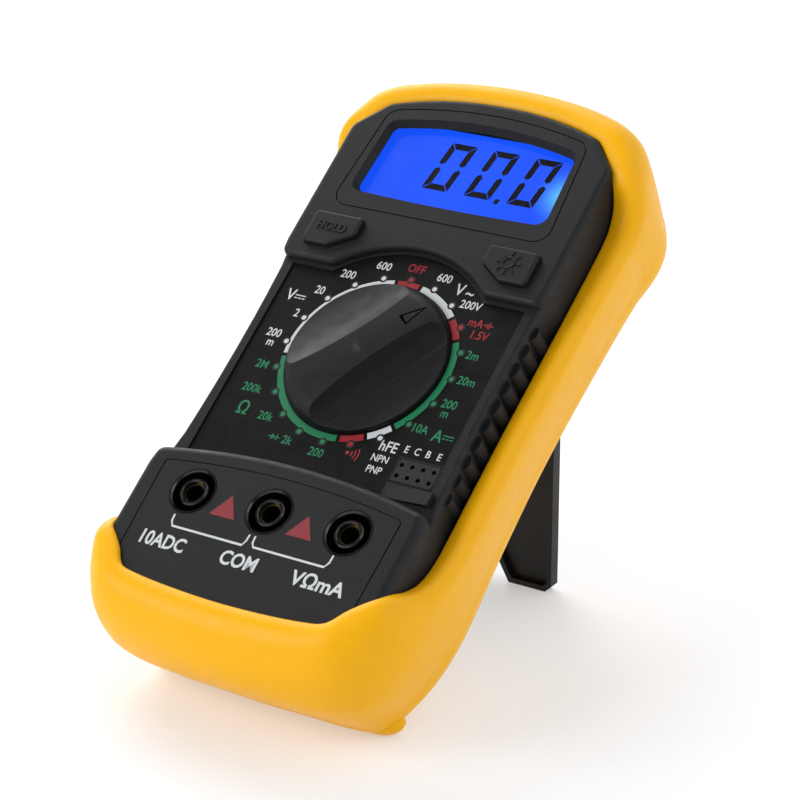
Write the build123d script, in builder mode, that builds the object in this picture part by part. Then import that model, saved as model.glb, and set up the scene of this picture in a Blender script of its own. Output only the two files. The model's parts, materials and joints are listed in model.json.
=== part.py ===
from build123d import *
import os
from math import cos, radians, sin

# Handheld digital multimeter in a rubber holster, standing on its tilt stand.
#
# Every part is drawn in the meter's own frame, in millimetres: the origin is the middle of the dial on
# the dial plate's surface, X runs to the right, Y up the face and Z out of the face. At the end each
# part is leaned back onto the holster's foot and the open stand.

# --- Driving dimensions -------------------------------------------------------------------------------

# Levels above the dial plate's surface
DIAL_PLATE_THICKNESS = 0.3
DECK_TOP = 0.4
DECK_UNDERSIDE = -2.1
DISPLAY_BLOCK_TOP = 2.4
JACK_BLOCK_TOP = 4.5
PARTING_LEVEL = -12.0
CASE_BACK = -26.4
CASE_BACK_ROUNDING = 5.0
HOLSTER_BACK = -29.4
BOARD_TOP = -5.5
BOARD_UNDERSIDE = -7.0

# Clearances
WALL = 1.8
SEAT_GAP = 0.1
HOLSTER_GAP = 0.2
RUNNING_GAP = 0.05

# Case outline
CASE_TOP_Y = 65.5
CASE_BOTTOM_Y = -65.2
UPPER_HALF_WIDTH = 32.3
WAIST_HALF_WIDTH = 31.1
JACK_HALF_WIDTH = 33.3
SHOULDER_Y = 19.4
DIAL_WELL_RADIUS = 26.9

# Selector
KNOB_RADIUS = 18.1
KNOB_HEIGHT = 5.0
KNOB_SHOULDER_RADIUS = 14.5
KNOB_SHOULDER_HEIGHT = 4.0
KNOB_RIM_HEIGHT = 1.0
KNOB_HUB_RADIUS = 7.9
RIDGE_TAIL_HALF_WIDTH = 4.4
RIDGE_TIP_HALF_WIDTH = 2.7
POINTER_BASE_Y = 10.2
POINTER_TIP_Y = 16.6
POSITIONS = 20
POINTER_ANGLE = 36.0
ROTOR_RADIUS = 15.6
ROTOR_TOP = -2.3
ROTOR_UNDERSIDE = -4.9
SPIGOT_RADIUS = 5.0
DETENT_RING_RADIUS = 16.0
BALL_RADIUS = 1.0
BALL_CENTRE_RADIUS = 14.9

# Keys
KEY_X = 21.7
KEY_Y = 26.6
KEY_TOP = 3.8
KEY_GAP = 0.15

# Display
WINDOW_CENTRE_Y = 48.4
GLASS_HALF_WIDTH = 24.6
GLASS_LOW_Y = 36.9
GLASS_HIGH_Y = 59.0
GLASS_TOP = -0.8
GLASS_THICKNESS = 2.2
GUIDE_TOP = GLASS_TOP - GLASS_THICKNESS - SEAT_GAP
GUIDE_THICKNESS = 1.8
GUIDE_LOW_Y = 39.4

# Input jacks: standard 4 mm plugs on 19 mm centres
JACK_SPACING = 19.0
JACK_Y = -40.2
PLUG_HOLE_RADIUS = 2.0
SLEEVE_RADIUS = 2.5
SLEEVE_TOP = 3.4
SLEEVE_BOTTOM = -12.0
SHROUD_RADIUS = 5.2
SHROUD_TUBE_RADIUS = 3.2
SHROUD_MOUTH_RADIUS = 2.4

# Transistor socket: two rows of four holes on a 2.54 mm grid
SOCKET_X = 23.8
SOCKET_Y = -22.6
SOCKET_PITCH = 2.54
SOCKET_HOLE_RADIUS = 0.5
SOCKET_LENGTH = 9.8
SOCKET_WIDTH = 5.4
SOCKET_TOP = 0.6

# Screws
CASE_SCREW_PLACES = [(-29.0, 47.0), (29.0, 47.0), (-27.2, -54.0), (27.2, -54.0)]
CASE_SCREW_RADIUS = 1.1
CASE_SCREW_SEAT = CASE_BACK + 9.0
BOARD_SCREW_PLACES = [(-24.0, 10.0), (24.0, 10.0), (-24.0, -14.0), (24.0, -14.0)]
BOARD_SCREW_RADIUS = 0.9
DOOR_SCREW_RADIUS = 0.9

# Fuse, 5 x 20, lying across the board's back
FUSE_Y = -53.5
FUSE_Z = -10.6
FUSE_RADIUS = 2.6
FUSE_LENGTH = 20.0
FUSE_CAP_LENGTH = 5.0

# Nine-volt battery, 26.5 x 48.5 x 17.5 over its terminals
BATTERY_WIDTH = 26.5
BATTERY_DEPTH = 17.5
BATTERY_LOW_Y = -26.8
BATTERY_BODY_LENGTH = 45.8
BATTERY_TOP = -7.1
TERMINAL_SPACING = 12.7

# Battery door
DOOR_HALF_WIDTH = 13.7
DOOR_LOW_Y = -37.0
DOOR_HIGH_Y = 28.0
DOOR_SCREW_Y = -33.2

# Tilt stand
STAND_HALF_WIDTH = 19.4
STAND_HINGE_Y = 33.5
STAND_HINGE_Z = -28.0
STAND_INNER = -26.65
STAND_OUTER = -29.35
STAND_WEB = 1.2
STAND_RIM = 1.2
TRUNNION_RADIUS = 0.9
LEAN_ANGLE = 38.5
OPEN_ANGLE = 90.0 - LEAN_ANGLE
FLOOR_DISTANCE = 63.3

# Holster
# Right halves of the holster's outline, from the top down: widest at the rim, drawn in towards the back
RIM_OUTLINE = [
    (0, 72.6),
    (18, 71.1),
    (31, 67.0),
    (36.7, 60),
    (38.3, 50),
    (37.7, 25),
    (37.1, 0),
    (37.4, -22),
    (38.3, -42),
    (38.3, -55),
    (35.0, -65.4),
    (20.5, -72.1),
    (0, -73.5),
]
BACK_OUTLINE = [
    (0, 71.5),
    (17.2, 70.1),
    (29.4, 66.0),
    (34.9, 59),
    (36.4, 49),
    (35.5, 25),
    (34.3, 0),
    (34.5, -21),
    (35.1, -39),
    (34.6, -51),
    (31.2, -60.8),
    (18.5, -67),
    (0, -68.2),
]
RIM_LEVEL = -3.0
HOLSTER_BACK_ROUNDING = 6.5
PAD_Y = -64.9
PAD_SPACING = 49.0
LIP_TOP = 6.2
LIP_UNDERSIDE = JACK_BLOCK_TOP + HOLSTER_GAP
# The front edge seen from the side: a rounded lip round the foot, low beside the grips, high at the top
FRONT_EDGE = [
    (-80, -9),
    (-74.5, -2),
    (-71, 3.2),
    (-65, 5.8),
    (-58, LIP_TOP),
    (-53, 5.7),
    (-50.3, 3.0),
    (-46.5, -1.0),
    (-42, -4.4),
    (-36, -6.1),
    (-24, -7.1),
    (10, -7.5),
    (36, -7.9),
    (44, -7.6),
    (48.5, -5.8),
    (52, -2.0),
    (56, 1.0),
    (62, 1.9),
    (80, 2.0),
]

pieces = {}


def keep(name, part):
    """Files a finished part under its name."""
    part.label = name
    pieces[name] = part


# --- Outlines ----------------------------------------------------------------------------------------


def case_outline(height, grow=0.0):
    """The body's outline: a domed top, a narrowed waist and a wider jack end."""
    with BuildSketch(Plane.XY.offset(height)) as outline:
        with BuildLine():
            ThreePointArc((0, CASE_TOP_Y), (13, 64.6), (25.8, 61.4))
            Line((25.8, 61.4), (UPPER_HALF_WIDTH, 54.4))
            Line((UPPER_HALF_WIDTH, 54.4), (UPPER_HALF_WIDTH, 23))
            Line((UPPER_HALF_WIDTH, 23), (31.5, 17))
            ThreePointArc((31.5, 17), (WAIST_HALF_WIDTH, -5), (31.8, -26))
            Line((31.8, -26), (JACK_HALF_WIDTH, -36))
            Line((JACK_HALF_WIDTH, -36), (JACK_HALF_WIDTH, -62))
            ThreePointArc((JACK_HALF_WIDTH, -62), (16.6, -64.4), (0, CASE_BOTTOM_Y))
            mirror(about=Plane.YZ)
        make_face()
        fillet(outline.vertices().filter_by(lambda v: abs(v.X) > 20 and v.Y > 50), 3.5)
        fillet(outline.vertices().filter_by(lambda v: abs(v.X) > 30 and v.Y < -50), 11)
        if grow:
            offset(amount=grow, kind=Kind.INTERSECTION)
    return outline.sketch


def display_block_outline(height, grow=0.0):
    """The raised block round the display, ending in shoulders and an arc about the dial."""
    with BuildSketch(Plane.XY.offset(height)) as outline:
        add(case_outline(0, grow))
        with Locations((0, SHOULDER_Y - grow - 60)):
            Rectangle(80, 120, mode=Mode.SUBTRACT)
        Circle(DIAL_WELL_RADIUS - grow, mode=Mode.SUBTRACT)
        fillet(outline.vertices().filter_by(lambda v: abs(v.X) < 25 and v.Y < 30), 3)
        fillet(outline.vertices().filter_by(lambda v: abs(v.X) > 25 and v.Y < 22), 2)
    return outline.sketch


def jack_block_outline(height, grow=0.0):
    """The raised block round the input jacks, with a gently domed upper edge."""
    dome_radius = 160
    with BuildSketch(Plane.XY.offset(height)) as outline:
        add(case_outline(0, grow))
        with Locations((0, -28.6 + grow - dome_radius)):
            Circle(dome_radius, mode=Mode.INTERSECT)
        fillet(outline.vertices().sort_by(Axis.Y)[-2:], 2.4)
    return outline.sketch


def window_outline(height, grow=0.0):
    """The display window: straight sides and foot under a shallow arch."""
    with BuildSketch(Plane.XY.offset(height)) as outline:
        with BuildLine():
            ThreePointArc((-22.5, 56.0), (0, 58.6), (22.5, 56.0))
            Line((22.5, 56.0), (23.3, 38.9))
            ThreePointArc((23.3, 38.9), (0, 38.4), (-23.3, 38.9))
            Line((-23.3, 38.9), (-22.5, 56.0))
        make_face()
        fillet(outline.vertices(), 1.6)
        if grow:
            offset(amount=grow)
    return outline.sketch


def display_groove_outline(grow=0.0):
    """The line engraved round the display."""
    with BuildSketch() as outline:
        with BuildLine():
            ThreePointArc((-24.8, 59.3), (0, 62.3), (24.8, 59.3))
            Line((24.8, 59.3), (26.8, 33.7))
            Line((26.8, 33.7), (-26.8, 33.7))
            Line((-26.8, 33.7), (-24.8, 59.3))
        make_face()
        fillet(outline.vertices(), 3.5)
        if grow:
            offset(amount=grow)
    return outline.sketch


def jack_groove_outline(grow=0.0):
    """The line engraved round the jacks, running down under the holster's lip."""
    with BuildSketch() as outline:
        with BuildLine():
            ThreePointArc((-28.9, -34.9), (0, -32.6), (28.9, -34.9))
            Line((28.9, -34.9), (28.3, -63))
            Line((28.3, -63), (-28.3, -63))
            Line((-28.3, -63), (-28.9, -34.9))
        make_face()
        fillet(outline.vertices().filter_by(lambda v: v.Y > -50), 1)
        fillet(outline.vertices().filter_by(lambda v: v.Y < -60), 9)
        if grow:
            offset(amount=grow)
    return outline.sketch


def dial_plate_outline(height, grow=0.0):
    """The printed plate: shoulders and an arc above, a shallow dome below, a corner cut for the socket."""
    with BuildSketch(Plane.XY.offset(height)) as outline:
        with BuildLine():
            Line((-28.7, 18.4), (-18.6, 18.4))
            ThreePointArc((-18.6, 18.4), (0, 26.15), (18.6, 18.4))
            Line((18.6, 18.4), (28.7, 18.4))
            Line((28.7, 18.4), (28.7, -19.4))
            Line((28.7, -19.4), (18.5, -19.4))
            Line((18.5, -19.4), (18.5, -28.9))
            ThreePointArc((18.5, -28.9), (0, -28.0), (-28.7, -30.2))
            Line((-28.7, -30.2), (-28.7, 18.4))
        make_face()
        if grow:
            offset(amount=grow, kind=Kind.INTERSECTION)
    return outline.sketch


def key_outline(height, side, grow=0.0):
    """A five-sided key whose lower inner corner is cut off beside the dial. side is -1 or 1."""
    corners = [(-6.0, 4.0), (6.0, 4.0), (6.0, -4.0), (-0.4, -4.0), (-6.0, -0.4)]
    with BuildSketch(Plane.XY.offset(height)) as outline:
        Polygon(*[(side * (KEY_X + x), KEY_Y + y) for x, y in corners], align=None)
        fillet(outline.vertices(), 1)
        if grow:
            offset(amount=grow)
    return outline.sketch


def holster_outline(height, right_half, shrink=0.0):
    """A smooth closed outline through its right half's points, from top to bottom, drawn in by shrink."""
    half_width = max(x for x, y in right_half)
    half_height = max(y for x, y in right_half)
    drawn_in = [(x * (1 - shrink / half_width), y * (1 - shrink / half_height)) for x, y in right_half]
    with BuildSketch(Plane.XY.offset(height)) as outline:
        with BuildLine():
            Spline(*drawn_in, tangents=[(1, 0), (-1, 0)])
            mirror(about=Plane.YZ)
        make_face()
    return outline.sketch


# --- Case --------------------------------------------------------------------------------------------


def raised_block(outline, top, rounding):
    """A block standing on the deck, its upper edges rounded."""
    root = -4
    with BuildPart() as block:
        extrude(outline(root), top - root)
        fillet(block.faces().sort_by(Axis.Z)[-1].edges(), rounding)
    return block.part


def rounded_pan(low, high, grow, rounding):
    """A block of the case's outline between two levels, its back edge rounded."""
    with BuildPart() as pan:
        extrude(case_outline(low, grow), high - low)
        fillet(pan.faces().sort_by(Axis.Z)[0].edges(), rounding)
    return pan.part


with BuildPart() as front_case:
    extrude(case_outline(PARTING_LEVEL), DECK_TOP - PARTING_LEVEL)
    fillet(front_case.faces().sort_by(Axis.Z)[-1].edges(), 0.8)
    add(raised_block(display_block_outline, DISPLAY_BLOCK_TOP, 1.2))
    add(raised_block(jack_block_outline, JACK_BLOCK_TOP, 1.8))
    # Scalloped grip ribs down each side of the waist
    rib_radius = 2.1
    for side in (-1, 1):
        with Locations((side * 30.4, -5, -6.5)):
            with GridLocations(0, 4.5, 1, 10):
                Cylinder(rib_radius, 9)
    # The hollow behind each level of the face
    extrude(case_outline(PARTING_LEVEL, -WALL), DECK_UNDERSIDE - PARTING_LEVEL, mode=Mode.SUBTRACT)
    display_hollow = DISPLAY_BLOCK_TOP - WALL - DECK_UNDERSIDE
    extrude(display_block_outline(DECK_UNDERSIDE, -WALL), display_hollow, mode=Mode.SUBTRACT)
    jack_hollow = JACK_BLOCK_TOP - WALL - DECK_UNDERSIDE
    extrude(jack_block_outline(DECK_UNDERSIDE, -WALL), jack_hollow, mode=Mode.SUBTRACT)
    # Seat for the dial plate and the selector's hole
    extrude(dial_plate_outline(-DIAL_PLATE_THICKNESS, SEAT_GAP), 2, mode=Mode.SUBTRACT)
    with Locations((0, 0, DECK_UNDERSIDE)):
        Cylinder(KNOB_HUB_RADIUS + RUNNING_GAP, 10, mode=Mode.SUBTRACT)
    # Ramp below the transistor socket, and the socket's opening
    with BuildSketch(Plane.XZ.offset(26.1)):
        Polygon((19.2, DECK_TOP), (30.2, DECK_TOP), (30.2, 1.9), align=None)
    extrude(amount=3)
    with Locations((SOCKET_X, SOCKET_Y, DECK_TOP)):
        Box(SOCKET_LENGTH + 0.2, SOCKET_WIDTH + 0.2, 10, mode=Mode.SUBTRACT)
    # Flared display opening
    opening_foot = DISPLAY_BLOCK_TOP - WALL
    extrude(window_outline(opening_foot), WALL, taper=-30, mode=Mode.SUBTRACT)
    extrude(window_outline(DECK_UNDERSIDE), 4, mode=Mode.SUBTRACT)
    for side in (-1, 1):
        extrude(key_outline(DECK_UNDERSIDE, side, KEY_GAP), 8, mode=Mode.SUBTRACT)
    with Locations((0, JACK_Y, JACK_BLOCK_TOP)):
        with GridLocations(JACK_SPACING, 0, 3, 1):
            Cylinder(SHROUD_RADIUS + SEAT_GAP, 8, mode=Mode.SUBTRACT)
    # Engraved lines
    groove_depth = 0.3
    half_groove = 0.16
    for outline, level in (
        (display_groove_outline, DISPLAY_BLOCK_TOP),
        (jack_groove_outline, JACK_BLOCK_TOP),
    ):
        with BuildSketch(Plane.XY.offset(level - groove_depth)):
            add(outline(half_groove))
            add(outline(-half_groove), mode=Mode.SUBTRACT)
        extrude(amount=1, mode=Mode.SUBTRACT)
    # Bosses for the case screws, up to the roof above each, and for the board screws
    for x, y in CASE_SCREW_PLACES:
        boss_roof = (DISPLAY_BLOCK_TOP if y > 0 else JACK_BLOCK_TOP) - WALL
        with BuildSketch(Plane.XY.offset(PARTING_LEVEL)):
            with Locations((x, y)):
                Circle(2.5)
                Circle(CASE_SCREW_RADIUS + 0.05, mode=Mode.SUBTRACT)
        extrude(amount=boss_roof - PARTING_LEVEL + 0.2)
    for x, y in BOARD_SCREW_PLACES:
        with BuildSketch(Plane.XY.offset(BOARD_TOP + SEAT_GAP)):
            with Locations((x, y)):
                Circle(2)
                Circle(BOARD_SCREW_RADIUS + 0.05, mode=Mode.SUBTRACT)
        extrude(amount=DECK_UNDERSIDE - BOARD_TOP)
    # Detent ring under the deck, one notch for each position
    with BuildSketch(Plane.XY.offset(DECK_UNDERSIDE - 2.6)):
        Circle(DETENT_RING_RADIUS + 2.2)
        Circle(DETENT_RING_RADIUS, mode=Mode.SUBTRACT)
        with PolarLocations(DETENT_RING_RADIUS - 0.4, POSITIONS, start_angle=0):
            Circle(1.2, mode=Mode.SUBTRACT)
    extrude(amount=2.7)
keep("front_case", front_case.part)

with BuildPart() as rear_hollow:
    rear_top = PARTING_LEVEL - RUNNING_GAP
    add(rounded_pan(CASE_BACK + WALL, rear_top, -WALL, CASE_BACK_ROUNDING - WALL))
    # Room left for the bosses that the case screws pass up through
    for x, y in CASE_SCREW_PLACES:
        with Locations((x, y, CASE_BACK)):
            Cylinder(3.1, 40, mode=Mode.SUBTRACT)

with BuildPart() as rear_case:
    add(rounded_pan(CASE_BACK, rear_top, 0, CASE_BACK_ROUNDING))
    add(rear_hollow.part, mode=Mode.SUBTRACT)
    for x, y in CASE_SCREW_PLACES:
        with Locations(Plane((x, y, CASE_BACK), z_dir=(0, 0, -1))):
            CounterBoreHole(CASE_SCREW_RADIUS + 0.1, 2.2, CASE_SCREW_SEAT - CASE_BACK)
    # Walls of the battery box and the bar that takes the door's screw
    rib_low = DOOR_LOW_Y + 0.2
    rib_high = 26.0
    for side in (-1, 1):
        with Locations((side * (DOOR_HALF_WIDTH + 1.0), (rib_low + rib_high) / 2, CASE_BACK + WALL)):
            Box(1.2, rib_high - rib_low, 12, align=(Align.CENTER, Align.CENTER, Align.MIN))
    door_height = DOOR_HIGH_Y - DOOR_LOW_Y
    with Locations((0, (DOOR_LOW_Y + DOOR_HIGH_Y) / 2, CASE_BACK)):
        Box(2 * DOOR_HALF_WIDTH + 0.4, door_height + 0.4, 2 * WALL + 0.2, mode=Mode.SUBTRACT)
    with Locations((0, (rib_low - 28.6) / 2, CASE_BACK + WALL - SEAT_GAP)):
        Box(
            2 * DOOR_HALF_WIDTH + 3,
            -28.6 - rib_low,
            5,
            align=(Align.CENTER, Align.CENTER, Align.MIN),
        )
    with Locations((0, DOOR_SCREW_Y, CASE_BACK)):
        Cylinder(DOOR_SCREW_RADIUS + 0.05, 20, mode=Mode.SUBTRACT)
keep("rear_case", rear_case.part)

with BuildPart() as battery_door:
    door_top = CASE_BACK + WALL - 0.2
    with Locations((0, (DOOR_LOW_Y + DOOR_HIGH_Y) / 2, CASE_BACK)):
        Box(
            2 * DOOR_HALF_WIDTH,
            door_height,
            door_top - CASE_BACK,
            align=(Align.CENTER, Align.CENTER, Align.MIN),
        )
    # Thumb grooves across the door
    with Locations((0, 16, CASE_BACK)):
        with GridLocations(0, 2.4, 1, 5):
            Box(14, 1, 0.8, mode=Mode.SUBTRACT)
    # Hooks that reach behind the rear case
    with Locations((0, DOOR_HIGH_Y - 1, door_top)):
        with GridLocations(16, 0, 2, 1):
            Box(5, 2, 1.5, align=(Align.CENTER, Align.CENTER, Align.MIN))
    with Locations((0, DOOR_HIGH_Y + 1, CASE_BACK + WALL + SEAT_GAP)):
        with GridLocations(16, 0, 2, 1):
            Box(5, 3.6, 1.2, align=(Align.CENTER, Align.CENTER, Align.MIN))
    with Locations(Plane((0, DOOR_SCREW_Y, CASE_BACK), z_dir=(0, 0, -1))):
        CounterSinkHole(DOOR_SCREW_RADIUS + 0.1, 2.0)
keep("battery_door", battery_door.part)


def pan_screw(radius, head_radius, head_height, length):
    """A pan-head screw pointing along +Z, its head's bearing face at the origin."""
    with BuildPart() as screw:
        Cylinder(radius, length, align=(Align.CENTER, Align.CENTER, Align.MIN))
        Cylinder(head_radius, head_height, align=(Align.CENTER, Align.CENTER, Align.MAX))
        fillet(screw.faces().sort_by(Axis.Z)[0].edges(), head_height * 0.5)
        chamfer(screw.faces().sort_by(Axis.Z)[-1].edges(), radius * 0.5)
        # Cross recess
        with Locations((0, 0, -head_height)):
            Box(head_radius * 1.1, 0.5, head_height, mode=Mode.SUBTRACT)
            Box(0.5, head_radius * 1.1, head_height, mode=Mode.SUBTRACT)
    return screw.part


with BuildPart() as case_screws:
    with Locations(*[(x, y, CASE_SCREW_SEAT - RUNNING_GAP) for x, y in CASE_SCREW_PLACES]):
        add(pan_screw(CASE_SCREW_RADIUS, 2.05, 1.6, 12))
keep("case_screws", case_screws.part)

with BuildPart() as door_screw:
    screw_length = 5
    with BuildSketch(Plane.XZ.offset(-DOOR_SCREW_Y)):
        with BuildLine():
            Polyline(
                (0, CASE_BACK + 0.05),
                (1.85, CASE_BACK + 0.05),
                (DOOR_SCREW_RADIUS, CASE_BACK + 1.0),
                (DOOR_SCREW_RADIUS, CASE_BACK + screw_length),
                (0, CASE_BACK + screw_length + 0.6),
                close=True,
            )
        make_face()
    revolve(axis=Axis((0, DOOR_SCREW_Y, 0), (0, 0, 1)))
    with Locations((0, DOOR_SCREW_Y, CASE_BACK)):
        Box(2, 0.45, 1, mode=Mode.SUBTRACT)
        Box(0.45, 2, 1, mode=Mode.SUBTRACT)
keep("battery_door_screw", door_screw.part)

# --- Face --------------------------------------------------------------------------------------------

with BuildPart() as dial_plate:
    extrude(dial_plate_outline(-DIAL_PLATE_THICKNESS + 0.02), DIAL_PLATE_THICKNESS - 0.02)
    Cylinder(KNOB_HUB_RADIUS + 0.3, 2, mode=Mode.SUBTRACT)
keep("dial_plate", dial_plate.part)

with BuildPart() as display_window:
    window_top = DISPLAY_BLOCK_TOP - WALL - SEAT_GAP
    with Locations((0, WINDOW_CENTRE_Y, window_top)):
        Box(49.6, 22.6, 1.1, align=(Align.CENTER, Align.CENTER, Align.MAX))
    fillet(display_window.edges().filter_by(Axis.Z), 2)
keep("display_window", display_window.part)


def key(side):
    """A key cap with the flange that keeps it in the case and the stem that works its switch."""
    with BuildPart() as cap:
        extrude(key_outline(-0.5, side), KEY_TOP + 0.5)
        fillet(cap.faces().sort_by(Axis.Z)[-1].edges(), 0.6)
        extrude(key_outline(-0.5, side, 1.1), 1.0)
        with Locations((side * KEY_X, KEY_Y, -0.5)):
            Cylinder(2.2, 0.8, align=(Align.CENTER, Align.CENTER, Align.MAX))
    return cap.part


def key_plunger(side):
    """The round plunger in the middle of a key switch."""
    with BuildPart() as plunger:
        with Locations((side * KEY_X, KEY_Y, -1.35)):
            Cylinder(1.7, 1.7, align=(Align.CENTER, Align.CENTER, Align.MAX))
        chamfer(plunger.faces().sort_by(Axis.Z)[-1].edges(), 0.2)
    return plunger.part


keep("hold_button", key(-1))
keep("backlight_button", key(1))
keep("hold_plunger", key_plunger(-1))
keep("backlight_plunger", key_plunger(1))

with BuildPart() as key_switches:
    with Locations((0, KEY_Y, BOARD_TOP + RUNNING_GAP)):
        with GridLocations(2 * KEY_X, 0, 2, 1):
            Box(6, 6, 3.3, align=(Align.CENTER, Align.CENTER, Align.MIN))
    with Locations((0, KEY_Y, -2.15)):
        with GridLocations(2 * KEY_X, 0, 2, 1):
            Cylinder(1.7 + RUNNING_GAP, 2.6, mode=Mode.SUBTRACT)
keep("key_switches", key_switches.part)

# --- Selector ----------------------------------------------------------------------------------------


# How the knob falls away from its ridge, as distance from the ridge and level: a soft slope on the left
# and a steep flank on the right
SOFT_SLOPE = ((3.0, 3.8), (8.0, 2.3), (11.6, 1.75), (15.5, 1.5))
STEEP_FLANK = ((1.8, 3.0), (6.5, 1.7), (10.5, 1.35), (15.5, 1.5))


def scoop(side, slope):
    """What is cut from one side of the knob, leaving a ridge that tapers towards the pointer at +Y."""
    tail = Vector(side * RIDGE_TAIL_HALF_WIDTH, -KNOB_RADIUS, 0)
    tip = Vector(side * RIDGE_TIP_HALF_WIDTH, KNOB_RADIUS, 0)
    along = (tip - tail).normalized()
    across = Vector(side * along.Y, -side * along.X, 0)
    profile_plane = Plane(origin=tail, x_dir=across, z_dir=across.cross(Vector(0, 0, 1)))
    start = (0, KNOB_HEIGHT + 0.4)
    bend, foot, hollow, brim = slope
    far = 2 * KNOB_RADIUS
    lift = 2 * KNOB_HEIGHT
    with BuildPart() as tool:
        with BuildSketch(profile_plane):
            with BuildLine():
                ThreePointArc(start, bend, foot)
                ThreePointArc(foot, hollow, brim)
                Polyline(brim, (far, brim[1]), (far, lift), (0, lift), start)
            make_face()
        extrude(amount=3 * KNOB_RADIUS, both=True)
    return tool.part


with BuildPart() as knob_blank:
    # Turned shape: a low crown that rolls down to a thin rim
    with BuildSketch(Plane.XZ):
        with BuildLine():
            shoulder = (KNOB_SHOULDER_RADIUS, KNOB_SHOULDER_HEIGHT)
            rim = (KNOB_RADIUS, KNOB_RIM_HEIGHT)
            crown = TangentArc((0, KNOB_HEIGHT), shoulder, tangent=(1, 0))
            TangentArc(shoulder, rim, tangent=crown % 1)
            Polyline(rim, (KNOB_RADIUS, 0.2), (0, 0.2), (0, KNOB_HEIGHT))
        make_face()
    revolve(axis=Axis.Z)
    add(scoop(-1, SOFT_SLOPE), mode=Mode.SUBTRACT)
    add(scoop(1, STEEP_FLANK), mode=Mode.SUBTRACT)
    # The two long edges along the ridge's top are slightly eased
    ridge_edges = knob_blank.edges().filter_by(lambda e: e.center().Z > 0.7 * KNOB_HEIGHT)
    fillet(ridge_edges.filter_by(lambda e: e.length > KNOB_RADIUS), 0.35)
    # Pointer mark sunk into the ridge near its tip
    with BuildSketch(Plane.XY.offset(KNOB_HEIGHT - 1.7)):
        Polygon((-1.6, POINTER_BASE_Y), (1.6, POINTER_BASE_Y), (0, POINTER_TIP_Y), align=None)
        inner_base = POINTER_BASE_Y + 0.6
        inner_tip = POINTER_TIP_Y - 1.6
        Polygon((-1.0, inner_base), (1.0, inner_base), (0, inner_tip), align=None, mode=Mode.SUBTRACT)
    extrude(amount=4, mode=Mode.SUBTRACT)
    # Hub through the deck and the spigot that carries the rotor
    with Locations((0, 0, 0.3)):
        Cylinder(KNOB_HUB_RADIUS, 0.3 - ROTOR_TOP, align=(Align.CENTER, Align.CENTER, Align.MAX))
    with Locations((0, 0, ROTOR_TOP)):
        Cylinder(SPIGOT_RADIUS, 2.4, align=(Align.CENTER, Align.CENTER, Align.MAX))
keep("selector_knob", knob_blank.part.rotate(Axis.Z, -POINTER_ANGLE))

with BuildPart() as switch_rotor:
    with BuildSketch(Plane.XY.offset(ROTOR_UNDERSIDE)):
        Circle(ROTOR_RADIUS)
        Circle(SPIGOT_RADIUS + RUNNING_GAP, mode=Mode.SUBTRACT)
    extrude(amount=ROTOR_TOP - ROTOR_UNDERSIDE - RUNNING_GAP)
    rotor_middle = (ROTOR_TOP + ROTOR_UNDERSIDE) / 2
    for side in (-1, 1):
        with BuildSketch(Plane.YZ.offset(side * 9.5)):
            with Locations((0, rotor_middle)):
                Circle(BALL_RADIUS + RUNNING_GAP)
        extrude(amount=side * 10, mode=Mode.SUBTRACT)
keep("switch_rotor", switch_rotor.part)

with BuildPart() as detent_balls:
    with Locations((BALL_CENTRE_RADIUS, 0, rotor_middle), (-BALL_CENTRE_RADIUS, 0, rotor_middle)):
        Sphere(BALL_RADIUS)
keep("detent_balls", detent_balls.part)


def coil_spring(radius, wire_radius, pitch, height):
    """A compression spring standing on the origin along +Z."""
    with BuildPart() as spring:
        with BuildLine() as path:
            Helix(pitch, height, radius)
        with BuildSketch(Plane(origin=path.line @ 0, z_dir=path.line % 0)):
            Circle(wire_radius)
        sweep(is_frenet=True)
    return spring.part


with BuildPart() as detent_springs:
    for side in (-1, 1):
        with Locations(Plane((side * 9.9, 0, rotor_middle), z_dir=(side, 0, 0))):
            add(coil_spring(0.75, 0.15, 0.7, 3.7))
keep("detent_springs", detent_springs.part)


def contact_leaf():
    """A bowed leaf that wipes the tracks on the board, 5.2 mm long, lying along Y."""
    half = 2.6
    foot = 0.8
    with BuildPart() as leaf:
        with BuildSketch(Plane.YZ):
            with BuildLine():
                ThreePointArc((-half, 0), (0, -0.5), (half, 0))
                Line((half, 0), (half - foot, 0))
                ThreePointArc((half - foot, 0), (0, -0.3), (foot - half, 0))
                Line((foot - half, 0), (-half, 0))
            make_face()
        extrude(amount=0.5, both=True)
    return leaf.part


with BuildPart() as contact_springs:
    for angle, radius in ((90, 8.0), (90, 11.5), (210, 9.5), (330, 8.0), (330, 11.5)):
        with PolarLocations(radius, 1, start_angle=angle):
            with Locations((0, 0, ROTOR_UNDERSIDE - RUNNING_GAP)):
                add(contact_leaf())
keep("contact_springs", contact_springs.part)

# --- Display -----------------------------------------------------------------------------------------

with BuildPart() as lcd_glass:
    # Two bonded plates; the rear one sticks out at the foot, where the connector strip meets it
    glass_height = GLASS_HIGH_Y - GLASS_LOW_Y
    with Locations((0, (GLASS_LOW_Y + GLASS_HIGH_Y) / 2, GLASS_TOP)):
        Box(
            2 * GLASS_HALF_WIDTH,
            glass_height,
            GLASS_THICKNESS,
            align=(Align.CENTER, Align.CENTER, Align.MAX),
        )
    with Locations((0, GLASS_LOW_Y, GLASS_TOP)):
        Box(2 * GLASS_HALF_WIDTH + 1, 2.0, GLASS_THICKNESS, mode=Mode.SUBTRACT)
keep("lcd_glass", lcd_glass.part)

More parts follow.
